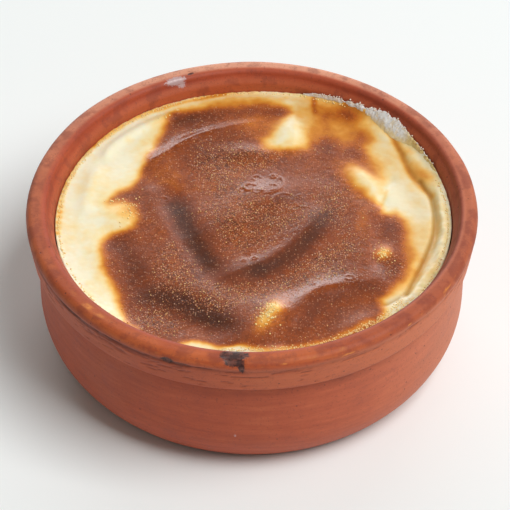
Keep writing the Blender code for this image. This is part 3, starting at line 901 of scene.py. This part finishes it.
def ledgeHeight(x, y, height, leftWidth, rightWidth, points):
    line, lengths = smoothLine(points, pudding["foldSteps"])
    heading = np.gradient(line, axis=0)
    heading /= np.linalg.norm(heading, axis=1)[:, None]
    blend = pudding["ledgeBlend"]
    run = np.linspace(0, 1, len(line))
    lengths = lengths * smoothStep(np.minimum(run, 1 - run), 0, pudding["ledgeTaper"])
    total = np.zeros(x.shape)
    for place, way, length in zip(line, heading, lengths):
        along = (x - place[0]) * way[0] + (y - place[1]) * way[1]
        left = (y - place[1]) * way[0] - (x - place[0]) * way[1]
        share = np.abs(left) / np.where(left > 0, leftWidth, rightWidth)
        total += length * np.exp(-((along / blend) ** 2) - share ** pudding["ledgeSharpness"])
    return height * total / (blend * math.sqrt(math.pi))


def around(x, y, middle):
    # how many degrees the place lies round the bowl from a middle angle
    return (np.degrees(np.arctan2(y, x)) - middle + 180) % 360 - 180


def skinHeight(x, y, wallDistance):
    p = pudding
    share = 1 - np.clip(wallDistance / bowl["hollowRadius"], 0, 1)
    relief = allOf(swellHeight, swells, x, y) + allOf(foldHeight, folds, x, y)
    relief = relief + allOf(ledgeHeight, ledges, x, y)
    settled = 1 - bell(wallDistance, 0, p["wallSettling"])
    height = p["level"] + p["dome"] * (1 - share**2) + relief * settled
    for middle, spread, climb, reach in wallClimbs.values():
        height = height + climb * bell(around(x, y, middle), 0, spread) * np.exp(-wallDistance / reach)
    waver = waves(p["rollWave"], np.arctan2(y, x))
    for middle, spread, inset, halfWidth, rise in wallRolls.values():
        along, across = bell(around(x, y, middle), 0, spread, 4), bell(wallDistance - waver, inset, halfWidth)
        height = height + rise * along * across
    return height


def edgeDistance(x, y):
    # how far inside the browned edge a point lies, outside below 0, and how soft the change is there
    edge = np.array(brownEdge)
    edge = np.vstack([edge, edge[:1]])
    near = np.full(x.shape, 1e9)
    soft = np.ones(x.shape)
    inside = np.zeros(x.shape, bool)
    for (ax, ay, asoft), (bx, by, bsoft) in zip(edge[:-1], edge[1:]):
        length = (bx - ax) ** 2 + (by - ay) ** 2
        t = np.clip(((x - ax) * (bx - ax) + (y - ay) * (by - ay)) / length, 0, 1)
        distance = np.hypot(x - ax - t * (bx - ax), y - ay - t * (by - ay))
        closer = distance < near
        near = np.where(closer, distance, near)
        soft = np.where(closer, asoft + t * (bsoft - asoft), soft)
        if ay != by:
            crossing = (ay > y) != (by > y)
            inside ^= crossing & (x < (bx - ax) * (y - ay) / (by - ay) + ax)
    return np.where(inside, near, -near), soft


def browning(x, y):
    # 0 for bare cream, 0.3 gold, 0.5 orange, 0.75 brown, 1 darkest
    wobbleX = 0.9 * roughNoise(x, y, 2.0, 6, 3)
    wobbleY = 0.9 * roughNoise(x, y, 8.0, 6, 3)
    distance, soft = edgeDistance(x + wobbleX, y + wobbleY)
    value = 0.02 + 0.54 * smoothStep(distance / soft, -2.4, 2.6) + 0.11 * smoothStep(distance, -6.5, 3.0)
    value = value + allOf(swellHeight, toasts, x + wobbleX, y + wobbleY)
    value = value + allOf(foldHeight, creaseStains, x, y)
    value = value + 0.10 * roughNoise(x, y, 5.0, 9, 3) + 0.05 * roughNoise(x, y, 1.0, 2.2, 3)
    return np.clip(value, 0, 1.1)


def bubbly(x, y, brown):
    full = np.clip(allOf(swellHeight, bubbleFields, x, y), 0, 1) - allOf(swellHeight, smoothFields, x, y)
    full = full + 0.35 * roughNoise(x, y, 3.0, 5, 3)
    return smoothStep(full, 0.0, 1.05) * smoothStep(brown, 0.22, 0.5)


def rimRelief(x, y):
    # the rims of the fallen bubbles
    total = np.zeros(x.shape)
    for centreX, centreY, radius, start, end, height in bubbleRims.values():
        small = radius < skinRelief["smallRim"]
        away = np.hypot(x - centreX, y - centreY)
        turn = (np.degrees(np.arctan2(y - centreY, x - centreX)) - start) % 360
        span = end - start
        fade = 1 if span >= 360 else np.clip(np.minimum(turn, span - turn) / 15, 0, 1)
        total = total + height * fade * bell(away, radius, 0.22 if small else 0.28)
        if small:
            total = total - 0.5 * height * bell(away, 0, 0.6 * radius)
    return total


def ripple(name, x, y, seed, octaves, gain=0.5):
    height, size = skinRelief[name]
    return height * roughNoise(x, y, seed, size, octaves, gain)


def fineRelief(x, y, bubbles, wallDistance):
    fine = ripple("rumples", x, y, 0.0, 3) + ripple("pores", x, y, 4.0, 2)
    fine = fine + bubbles * ripple("froth", x, y, 6.0, 2, 0.7) + rimRelief(x, y)
    fine = fine - allOf(foldHeight, shadedCreases, x, y)
    middle, spread, width = skinRelief["strip"]
    strip = bell(around(x, y, middle), 0, spread, 4) * bell(wallDistance, 0, width, 4)
    crinkle = np.exp(-wallDistance / 1.6) * ripple("crinkle", x, y, 9.0, 3, 0.6)
    return fine * (1 - bell(wallDistance, 0, 0.8)) + crinkle + strip * ripple("stripWaves", x, y, 12.0, 2)


def skinAt(x, y, wallDistance):
    # height, browning and bubbles of the skin at a place
    brown = browning(x, y)
    bubbles = bubbly(x, y, brown)
    return skinHeight(x, y, wallDistance) + fineRelief(x, y, bubbles, wallDistance), brown, bubbles


def discGrid(cells):
    # a square grid pressed into a disc, evenly: share of the radius and angle of each point
    line = np.linspace(-1, 1, cells + 1)
    a, b = np.meshgrid(line, line)
    first = np.abs(a) > np.abs(b)
    safeA, safeB = np.where(a == 0, 1, a), np.where(b == 0, 1, b)
    radius = np.where(first, a, b)
    angle = np.where(first, (math.pi / 4) * (b / safeA), math.pi / 2 - (math.pi / 4) * (a / safeB))
    angle = np.where((a == 0) & (b == 0), 0, angle)
    return np.abs(radius), np.where(radius < 0, angle + math.pi, angle)


def skinPaints(x, y, brown, bubbles):
    dull = np.clip(allOf(swellHeight, shadeAndOliveFields, x, y), 0, 1) * (1 - smoothStep(brown, 0.4, 0.75))
    wet = np.clip(allOf(foldHeight, wetLines, x, y), -1, 1)
    crease = sum(foldHeight(x, y, 3 * depth, 1.1 * wide, line) for depth, wide, line in shadedCreases.values())
    return {"browning": brown, "bubbles": bubbles, "dull": dull, "wet": wet, "crease": np.clip(crease, 0, 1)}


def makePudding():
    p = pudding
    cells = p["grid"]
    share, angle = discGrid(cells)
    edge = bowl["hollowRadius"] - 0.5 * p["gap"]
    x, y, _ = thrown(edge * share, p["level"], angle, 1.0)
    z, brown, bubbles = skinAt(x, y, edge * (1 - share))
    index = np.arange((cells + 1) ** 2).reshape(cells + 1, cells + 1)
    corners = (index[:-1, :-1], index[:-1, 1:], index[1:, 1:], index[1:, :-1])
    quads = [np.stack(corners, axis=-1).reshape(-1, 4)]
    border = np.concatenate([index[0, :-1], index[:-1, -1], index[-1, :0:-1], index[:0:-1, 0]])
    count = len(border)
    turn = angle.ravel()[border]
    points = [np.column_stack([x.ravel(), y.ravel(), z.ravel()])]
    # the hidden part: rings down the wall of the hollow and over its floor
    previous, start = border, index.size
    for radius, height in respaced(cavityLine(), p["hiddenStep"])[1:-1]:
        lift = p["gap"] if height < bowl["hollowFloor"] + p["gap"] else 0.0
        lowX, lowY, lowZ = thrown(radius - p["gap"], height + lift, turn, 1.0)
        points.append(np.column_stack([lowX, lowY, lowZ]))
        ring = np.arange(start, start + count)
        quads.append(np.stack([previous, ring, np.roll(ring, -1), np.roll(previous, -1)], axis=-1))
        previous, start = ring, start + count
    points.append(np.array([[bowl["hollowOffset"], 0.0, bowl["hollowFloor"] + p["gap"]]]))
    faces = np.vstack(quads).tolist()
    faces += [(int(one), start, int(two)) for one, two in zip(previous, np.roll(previous, -1))]
    hidden = {"browning": np.tile(brown.ravel()[border] * 0.2, len(quads) - 1)}
    attributes = {}
    for name, values in skinPaints(x, y, brown, bubbles).items():
        below = hidden.get(name, np.zeros(count * (len(quads) - 1)))
        attributes[name] = np.concatenate([values.ravel(), below, [0.0]])
    piece = addPiece("pudding_skin", np.vstack(points), faces, brownedSkin(), attributes)
    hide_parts("pudding")


# from bare cream to the darkest brown
toastColours = (
    (0.00, shown(247, 240, 210)), (0.10, shown(247, 224, 166)), (0.22, shown(244, 192, 102)),
    (0.34, shown(222, 146, 50)), (0.48, shown(191, 103, 30)), (0.62, shown(153, 73, 26)),
    (0.76, shown(125, 56, 21)), (0.90, shown(97, 44, 18)), (1.00, shown(79, 36, 16)),
)
skinColours = {
    # the tiny bubbles' dots: their golden colour with the glints they catch painted in
    "goldGlintDark": shown(190, 120, 84),
    "goldGlintLight": shown(246, 196, 152),
    "ring": shown(66, 29, 16),
    "dull": (0.84, 0.74, 0.62, 1),      # the skin's colour is multiplied by these two: painted shade with olive tone, and painted shade in the creases
    # painted shade in the bottoms of the creases
    "crease": (0.55, 0.42, 0.24, 1),
    "unchanged": (1, 1, 1, 1),
}


def brownedSkin():
    skin = Finish("browned_skin")
    tints = skinColours
    where = skin.place()
    brown = skin.painted("browning")
    bubbles = skin.painted("bubbles")
    soft = skin.noise(where, 3.2, 4.0, 0.6)
    fine = skin.noise(where, 0.8, 3.0, 0.7)
    crust = brown.rise(0.3, 0.62)
    level = brown + (soft - 0.5) * 0.14 + (fine - 0.5) * (0.10 + 0.20 * bubbles) * crust
    cells = skin.cells(where, 0.62)
    away = cells.out("Distance")
    chance = skin.split(cells.out("Color"))
    full = 0.42 * crust + 0.58 * bubbles
    # dots of the tiny bubbles, painted pale as golden colour and painted glints
    dot = (1 - away.rise(0.12, 0.42)) * chance.out("X").rise(0.35, 0.8) * full
    ring = away.rise(0.34, 0.55) * chance.out("Z").rise(0.3, 0.7) * full
    # the dots' colour, from darker to paler golden glint
    gold = skin.blend(chance.out("Y"), tints["goldGlintDark"], tints["goldGlintLight"])
    colour = skin.blend(dot * 0.85, skin.ramp(level, toastColours), gold)
    colour = skin.blend(ring * 0.65, colour, tints["ring"])
    # painted shade and olive tone where the cream lies deep
    colour = colour * skin.blend(skin.painted("dull"), tints["unchanged"], tints["dull"])
    # painted shade in the bottoms of the creases
    colour = colour * skin.blend(skin.painted("crease"), tints["unchanged"], tints["crease"])
    relief = dot * 0.6 - ring * 0.3 + fine * 0.25 * crust + soft * 0.3
    return skin.surface({"Base Color": colour, "Roughness": 0.28 + 0.14 * soft - 0.20 * skin.painted("wet"),
                         "Normal": skin.bump(relief, 0.7, 0.15), "Subsurface Weight": 0.18,
                         "Subsurface Radius": (1.0, 0.55, 0.28), "Subsurface Scale": 1.2 * mm})


# the tiny bubbles in the skin and the crisp beads
beads = {
    "spacing": 0.50,
    "scatter": 0.48,        # share of the spacing by which a bubble is off its place
    "wallMargin": 1.2,      # no bubbles closer to the wall
    "radius": (0.085, 0.22),
    "wallBeads": 1000,
    "wallRadius": (0.13, 0.32),
    "patchRadius": (0.16, 0.36),
    "sides": 6,
    "rings": ((1.0, -0.25), (0.72, 0.66)),  # width and height of each ring of a dome, as shares of its radius
}

# stretches of the wall with golden beads: from and to angle, share of the beads, distance from the wall
beadStretches = (
    (112, 196, 0.26, 0.35, 0.5), (196, 238, 0.08, 0.3, 0.4), (260, 322, 0.34, 2.3, 0.9),
    (300, 325, 0.16, 0.9, 1.2), (325, 378, 0.14, 0.35, 0.45), (60, 112, 0.07, 0.3, 0.4),
    (300, 312, 0.05, 1.4, 1.2),
)

# crisp patches away from the wall: x, y, half widths, turn, beads
crispPatches = {
    "frontBlister": (4.4, -37.4, 2.4, 4.4, -22, 95),
    "rightBlister": (34.8, -13.2, 2.0, 2.4, 0, 34),
    "leftLobe": (-32.6, 2.6, 2.0, 4.2, -20, 26),
    "leftLobeTop": (-35.4, 7.0, 3.0, 1.2, 12, 12),
    "backCorner": (-22, 42.4, 2.4, 1.2, 30, 7),
    "wallPatchRight": (41.6, 34.0, 1.2, 3.0, 30, 14),
}


def addDomes(name, centres, radii, tones, squash, material):
    # many little half-sunk domes in one mesh
    sides, rings = beads["sides"], beads["rings"]
    turn = 2 * np.pi * np.arange(sides) / sides
    outline = [(wide * math.cos(angle), wide * math.sin(angle), high)
               for wide, high in rings for angle in turn]
    outline = np.array(outline + [(0.0, 0.0, 1.0)])
    radii = np.asarray(radii)
    sizes = np.column_stack([radii, radii, radii * squash])
    points = (np.asarray(centres)[:, None, :] + sizes[:, None, :] * outline[None]).reshape(-1, 3)
    tip = len(outline) - 1
    dome = [tuple(reversed(range(sides)))] + ringFaces(len(rings), sides)
    dome += [(tip - sides + side, tip - sides + (side + 1) % sides, tip) for side in range(sides)]
    starts = range(0, len(points), len(outline))
    faces = [tuple(start + corner for corner in face) for start in starts for face in dome]
    paints = {"tone": np.repeat(tones, len(outline))}
    piece = addPiece(name, points, faces, material, paints)
    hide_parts("pudding")


def distanceToWall(x, y):
    # from a place on the skin outwards to the clay
    outwards = x - bowl["hollowOffset"]
    edge = bowl["hollowRadius"] - 0.5 * pudding["gap"]
    uneven = waves(bowl["outOfRound"], np.arctan2(y, outwards)) * pudding["unevenShare"]
    return edge + uneven - np.hypot(outwards, y)


def surfaceAt(x, y):
    return skinAt(x, y, np.maximum(distanceToWall(x, y), 0))


def makeBubbles():
    step, scatter = beads["spacing"], beads["scatter"]
    line = np.arange(-50, 50, step)
    x, y = (part.ravel() for part in np.meshgrid(line, line))
    x = x + rng.uniform(-scatter, scatter, x.size) * step
    y = y + rng.uniform(-scatter, scatter, y.size) * step
    inside = distanceToWall(x, y) > beads["wallMargin"]
    x, y = x[inside], y[inside]
    height, brown, bubbles = surfaceAt(x, y)
    chance = (bubbles * 0.90 + 0.05 * (brown > 0.45)) * (1 - 0.75 * smoothStep(brown, 0.80, 1.0))
    keep = rng.uniform(size=x.size) < chance
    x, y, height, brown = x[keep], y[keep], height[keep], brown[keep]
    low, high = beads["radius"]
    radius = low + (high - low) * rng.uniform(size=x.size) ** 1.9
    tone = np.clip(0.08 + 0.80 * rng.uniform(size=x.size) ** 2.4 - 0.25 * (brown - 0.7), 0, 1)
    squash = rng.uniform(0.55, 0.9, x.size)
    addDomes("skin_bubbles", np.column_stack([x, y, height]), radius, tone, squash, crispFinish())


def makeBeads():
    spots, radii, tones = [], [], []
    for start, end, share, inward, spread in beadStretches:
        for _ in range(int(beads["wallBeads"] * share)):
            angle = math.radians(rng.uniform(start, end))
            inset = inward + abs(rng.normal(0, spread * 0.6))
            reach = bowl["hollowRadius"] - 0.4 - inset
            spots.append((reach * math.cos(angle) + bowl["hollowOffset"], reach * math.sin(angle)))
            radii.append(rng.uniform(*beads["wallRadius"]) * (1 if inset < 1.2 else 0.8))
            tones.append(rng.uniform(0.75, 1.0))
    for x, y, halfX, halfY, turn, count in crispPatches.values():
        angle = math.radians(turn)
        for _ in range(count):
            along, across = rng.normal(0, 0.62, 2) * (halfX, halfY)
            spots.append((x + along * math.cos(angle) - across * math.sin(angle),
                          y + along * math.sin(angle) + across * math.cos(angle)))
            radii.append(rng.uniform(*beads["patchRadius"]))
            tones.append(rng.uniform(0.8, 1.0))
    spots = np.array(spots)
    height, _, _ = surfaceAt(spots[:, 0], spots[:, 1])
    squash = rng.uniform(0.5, 0.85, len(spots))
    addDomes("crisp_beads", np.column_stack([spots, height]), radii, tones, squash, crispFinish())


# from the darkest to the palest tone
crispColours = ((0.0, shown(156, 92, 64)), (0.3, shown(200, 132, 94)), (0.65, shown(238, 182, 124)),
                (1.0, shown(255, 226, 158)))
crumbColours = ((0.0, shown(206, 150, 128)), (0.4, shown(236, 214, 196)), (1.0, shown(250, 248, 240)))


def crispFinish():
    crisp = Finish("crisp_bubbles")
    colour = crisp.ramp(crisp.painted("tone"), crispColours)
    return crisp.surface({"Base Color": colour, "Roughness": 0.34, "Specular IOR Level": 0.28,
                          "Subsurface Weight": 0.3, "Subsurface Radius": (1.0, 0.6, 0.3),
                          "Subsurface Scale": 0.5 * mm})


# the torn skin of dried milk that stuck to the wall
tornSkin = {
    "from": 75.0,
    "to": 19.0,
    "steps": 560,
    "rows": 17,
    "thickness": 0.20,
    "ragged": 0.42,
    "raggedSize": 1.6,
    "wrinkle": 0.22,
    "wrinkleSize": (2.2, 1.7),   # along the wall, up the wall
    "finest": 0.10,
    "wallGap": 0.18,        # from the film to the clay
    "sunk": 0.12,           # its lower edge lies this far below the skin
    "foot": 39.0,           # height of its upper edge at both ends
    "noiseRadius": 52,
    "crumbs": 80,
    # angle and how high its upper edge stands
    "edge": ((75, 39.3), (70, 39.9), (64, 40.2), (58, 40.6), (52, 41.3), (47, 41.9), (42, 41.6),
             (37, 40.9), (32, 40.1), (28, 39.7), (24, 39.5), (19, 39.1)),
    # angle and how far it reaches over the pudding
    "reach": ((75, 0.3), (62, 0.45), (55, 0.6), (50, 1.3), (45, 2.2), (40, 2.2), (36, 1.3), (31, 0.6),
              (24, 0.4), (19, 0.3)),
    # angle, half width, depth of the gaps torn in it
    "gaps": ((54.4, 0.8, 0.5), (50.9, 0.5, 0.6), (61.5, 0.7, 0.4), (45.2, 0.5, 0.4)),
}


def wallRadius(height):
    # the wall of the bowl at that height, above the pudding
    b = bowl
    return np.interp(height, [b["hollowWallTop"], b["flareTop"], b["height"] - b["lipRound"]],
                     [b["hollowRadius"], b["hollowRadius"] + b["flare"], b["rimRadius"] - b["rimWidth"]])


def fromTable(name, degrees):
    table = np.array(tornSkin[name])[::-1]
    return np.interp(degrees, table[:, 0], table[:, 1])


def alongWall(angles, size=1.0):
    # a place on the wall for the film's noise
    radius = tornSkin["noiseRadius"] / size
    return np.cos(angles) * radius, np.sin(angles) * radius


def tornTop(angles):
    t = tornSkin
    degrees = np.degrees(angles)
    top = fromTable("edge", degrees)
    for middle, spread, depth in t["gaps"]:
        top = top - depth * bell(degrees, middle, spread)
    top = top + t["ragged"] * roughNoise(*alongWall(angles), 3.0, t["raggedSize"], 4, 0.7)
    ends = smoothStep(np.minimum(t["from"] - degrees, degrees - t["to"]), 0, 4.5)
    return t["foot"] + (top - t["foot"]) * ends


def filmSides(angles, rows):
    # the film's two sides: front radius, back radius and the height that they share
    t = tornSkin
    leaning = fromTable("reach", np.degrees(angles))
    leaning = leaning * (1 + 0.16 * roughNoise(*alongWall(angles), 7.0, 2.2, 3))
    foot = bowl["hollowRadius"] - 0.2 - leaning
    bottom = surfaceAt(foot * np.cos(angles) + bowl["hollowOffset"], foot * np.sin(angles))[0] - t["sunk"]
    height = bottom + (np.maximum(tornTop(angles), bottom + 0.2) - bottom) * rows
    reach = wallRadius(height) - t["wallGap"]
    lean = (1 - rows) ** 1.25 * leaning
    along, upwards = t["wrinkleSize"]
    wrinkle = roughNoise(*alongWall(angles, along), height / upwards, 1.0, 3, 0.6)
    finest = roughNoise(*alongWall(angles), height, 0.7, 2, 0.6)
    swing = np.sin(np.pi * np.clip(rows, 0.03, 0.97)) ** 0.6
    front = reach - lean - t["thickness"] - (t["wrinkle"] * (wrinkle + 0.4) + t["finest"] * finest) * swing
    return front, np.maximum(reach - lean * 0.8 + 0.02, front + 0.08), height


def makeTornSkin():
    t = tornSkin
    angles = np.radians(np.linspace(t["from"], t["to"], t["steps"]))[None, :]
    rows = np.linspace(0, 1, t["rows"])[:, None]
    front, back, height = filmSides(angles, rows)
    points = [(radius * np.cos(angles) + bowl["hollowOffset"], radius * np.sin(angles), height)
              for radius in (front, back)]
    points = np.vstack([np.column_stack([part.ravel() for part in side]) for side in points])
    count = height.size
    index = np.arange(count).reshape(height.shape)
    inner = np.stack([index[:-1, :-1], index[1:, :-1], index[1:, 1:], index[:-1, 1:]], axis=-1).reshape(-1, 4)
    border = np.concatenate([index[0, :], index[1:, -1], index[-1, -2::-1], index[-2:0:-1, 0]])
    after = np.roll(border, -1)
    edges = np.stack([after, after + count, border + count, border], axis=-1)
    faces = np.vstack([inner, inner[:, ::-1] + count, edges]).tolist()
    climb, turn = (np.tile(part.ravel(), 2) for part in np.broadcast_arrays(rows, np.degrees(angles)))
    paints = {"climb": climb, "turn": turn}
    piece = addPiece("torn_skin", points, faces, tornFinish(), paints)
    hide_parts("pudding")


def makeCrumbs():
    # specks of dried milk along the film's upper edge
    t = tornSkin
    angles = np.radians(rng.uniform(t["to"] + 3, t["from"] - 4, t["crumbs"]))
    height = np.where(np.degrees(angles) < t["from"] - 2, tornTop(angles), 39.3)
    height = height + rng.normal(0, 0.22, t["crumbs"])
    radius = wallRadius(height) - rng.uniform(0.12, 0.45, t["crumbs"])
    spots = np.column_stack([radius * np.cos(angles) + bowl["hollowOffset"], radius * np.sin(angles), height])
    size = rng.uniform(0.10, 0.30, t["crumbs"])
    tone = rng.uniform(0.2, 1.0, t["crumbs"])
    squash = rng.uniform(0.8, 1.2, t["crumbs"])
    addDomes("milk_crumbs", spots, size, tone, squash, crumbFinish())


def crumbFinish():
    crumb = Finish("milk_crumbs")
    colour = crumb.ramp(crumb.painted("tone"), crumbColours)
    return crumb.surface({"Base Color": colour, "Roughness": 0.25})


filmColours = {
    "pale": shown(230, 212, 184),
    "white": shown(255, 255, 252),
    "thin": shown(206, 172, 158),   # at its left end, where the clay shows through
    "cream": shown(240, 206, 140),  # at its right end
    "foot": shown(240, 208, 144),
    "spots": shown(238, 200, 176),
}


def tornFinish():
    film = Finish("torn_skin")
    tints = filmColours
    where = film.place()
    turn = film.painted("turn")
    cloud = film.noise(where, 1.4, 4.0, 0.68)
    speck = film.noise(where, 0.55, 3.0, 0.65)
    thin = turn.rise(52, 66) * (0.4 + 0.6 * cloud.rise(0.4, 0.6))
    sunk = 1 - (film.painted("climb") + (cloud - 0.5) * 0.5).rise(0.05, 0.55)
    colour = film.blend(cloud.rise(0.34, 0.56), tints["pale"], tints["white"])
    colour = film.blend(thin * 0.55, colour, tints["thin"])
    colour = film.blend(turn.rise(34, 41), tints["cream"], colour)
    colour = film.blend(sunk * 0.85, colour, tints["foot"])
    colour = film.blend(speck.rise(0.64, 0.72) * 0.4, colour, tints["spots"])
    return film.surface({"Base Color": colour, "Roughness": 0.24,
                         "Normal": film.bump(cloud + 0.5 * speck, 0.5, 0.18), "Subsurface Weight": 0.5,
                         "Subsurface Radius": (1.0, 0.9, 0.8), "Subsurface Scale": 1.0 * mm})


# floor, lights and surroundings
stage = {
    "floorShade": (0.87, 0.905, 0.91, 1.0),
    "floorSize": 12.0,            # metres
    "floorHeight": -0.02,         # millimetres, just below the foot
    "worldColour": (1.0, 1.0, 0.90, 1.0),
    "worldStrength": 0.20,
    "key": {"from": (-26, 59), "distance": 2.4, "width": 1.5, "height": 1.5, "power": 53.0,
            "colour": (1.0, 0.99, 0.985)},
    "back": {"from": (88, 18), "distance": 2.0, "width": 2.2, "height": 0.78, "power": 23.0,
             "colour": (0.97, 0.98, 1.0)},
}

view = {
    "target": (0.0009, 0.0, 0.0253),  # metres
    "elevation": 43.4,
    "distance": 0.9,                  # metres
    "roll": 0.31,
    "focalPixels": 3337.0,            # for a picture 510 pixels wide
    "pictureWidth": 510,
    "sensor": 36.0,
    "clip": (0.05, 20),               # metres
}


def makeFloor():
    paint = Finish("pale_floor")
    half = stage["floorSize"] / 2
    mesh = bpy.data.meshes.new("floor")
    height = stage["floorHeight"] * mm
    corners = [(-half, -half, height), (half, -half, height), (half, half, height), (-half, half, height)]
    mesh.from_pydata(corners, [], [(0, 1, 2, 3)])
    mesh.materials.append(paint.surface({"Base Color": stage["floorShade"], "Roughness": 0.9,
                                         "IOR": 1.5, "Specular IOR Level": 0.0}))
    floor = bpy.data.objects.new("floor", mesh)
    bpy.context.scene.collection.objects.link(floor)


def softbox(name, settings):
    azimuth, elevation = (math.radians(value) for value in settings["from"])
    direction = Vector((math.cos(elevation) * math.cos(azimuth), math.cos(elevation) * math.sin(azimuth),
                        math.sin(elevation)))
    light = bpy.data.lights.new(name, "AREA")
    light.shape = "RECTANGLE"
    light.size = settings["width"]
    light.size_y = settings["height"]
    light.energy = settings["power"]
    light.color = settings["colour"]
    lamp = bpy.data.objects.new(name, light)
    lamp.location = direction * settings["distance"]
    lamp.rotation_euler = direction.to_track_quat("Z", "Y").to_euler()
    bpy.context.scene.collection.objects.link(lamp)


def makeLight():
    world = bpy.data.worlds.new("studio")
    world.use_nodes = True
    background = world.node_tree.nodes["Background"]
    background.inputs["Color"].default_value = stage["worldColour"]
    background.inputs["Strength"].default_value = stage["worldStrength"]
    bpy.context.scene.world = world
    softbox("key_softbox", stage["key"])
    softbox("back_softbox", stage["back"])
    bpy.context.scene.view_settings.view_transform = "Standard"


def makeCamera():
    lens = bpy.data.cameras.new("camera")
    lens.sensor_width = view["sensor"]
    lens.lens = view["focalPixels"] * view["sensor"] / view["pictureWidth"]
    lens.clip_start, lens.clip_end = view["clip"]
    camera = bpy.data.objects.new("camera", lens)
    tilt = math.radians(view["elevation"])
    forward = Vector((0, math.cos(tilt), -math.sin(tilt)))
    up = Vector((0, math.sin(tilt), math.cos(tilt)))
    right = Vector((1, 0, 0))
    roll = math.radians(view["roll"])
    rolledUp = up * math.cos(roll) - right * math.sin(roll)
    rolledRight = right * math.cos(roll) + up * math.sin(roll)
    turn = Matrix((rolledRight, rolledUp, -forward)).transposed().to_4x4()
    place = Vector(view["target"]) - forward * view["distance"]
    camera.matrix_world = Matrix.Translation(place) @ turn
    bpy.context.scene.collection.objects.link(camera)
    bpy.context.scene.camera = camera


makeCamera()
makeLight()
makeFloor()
makeBowl()
makePudding()
makeBubbles()
makeBeads()
makeTornSkin()
makeCrumbs()
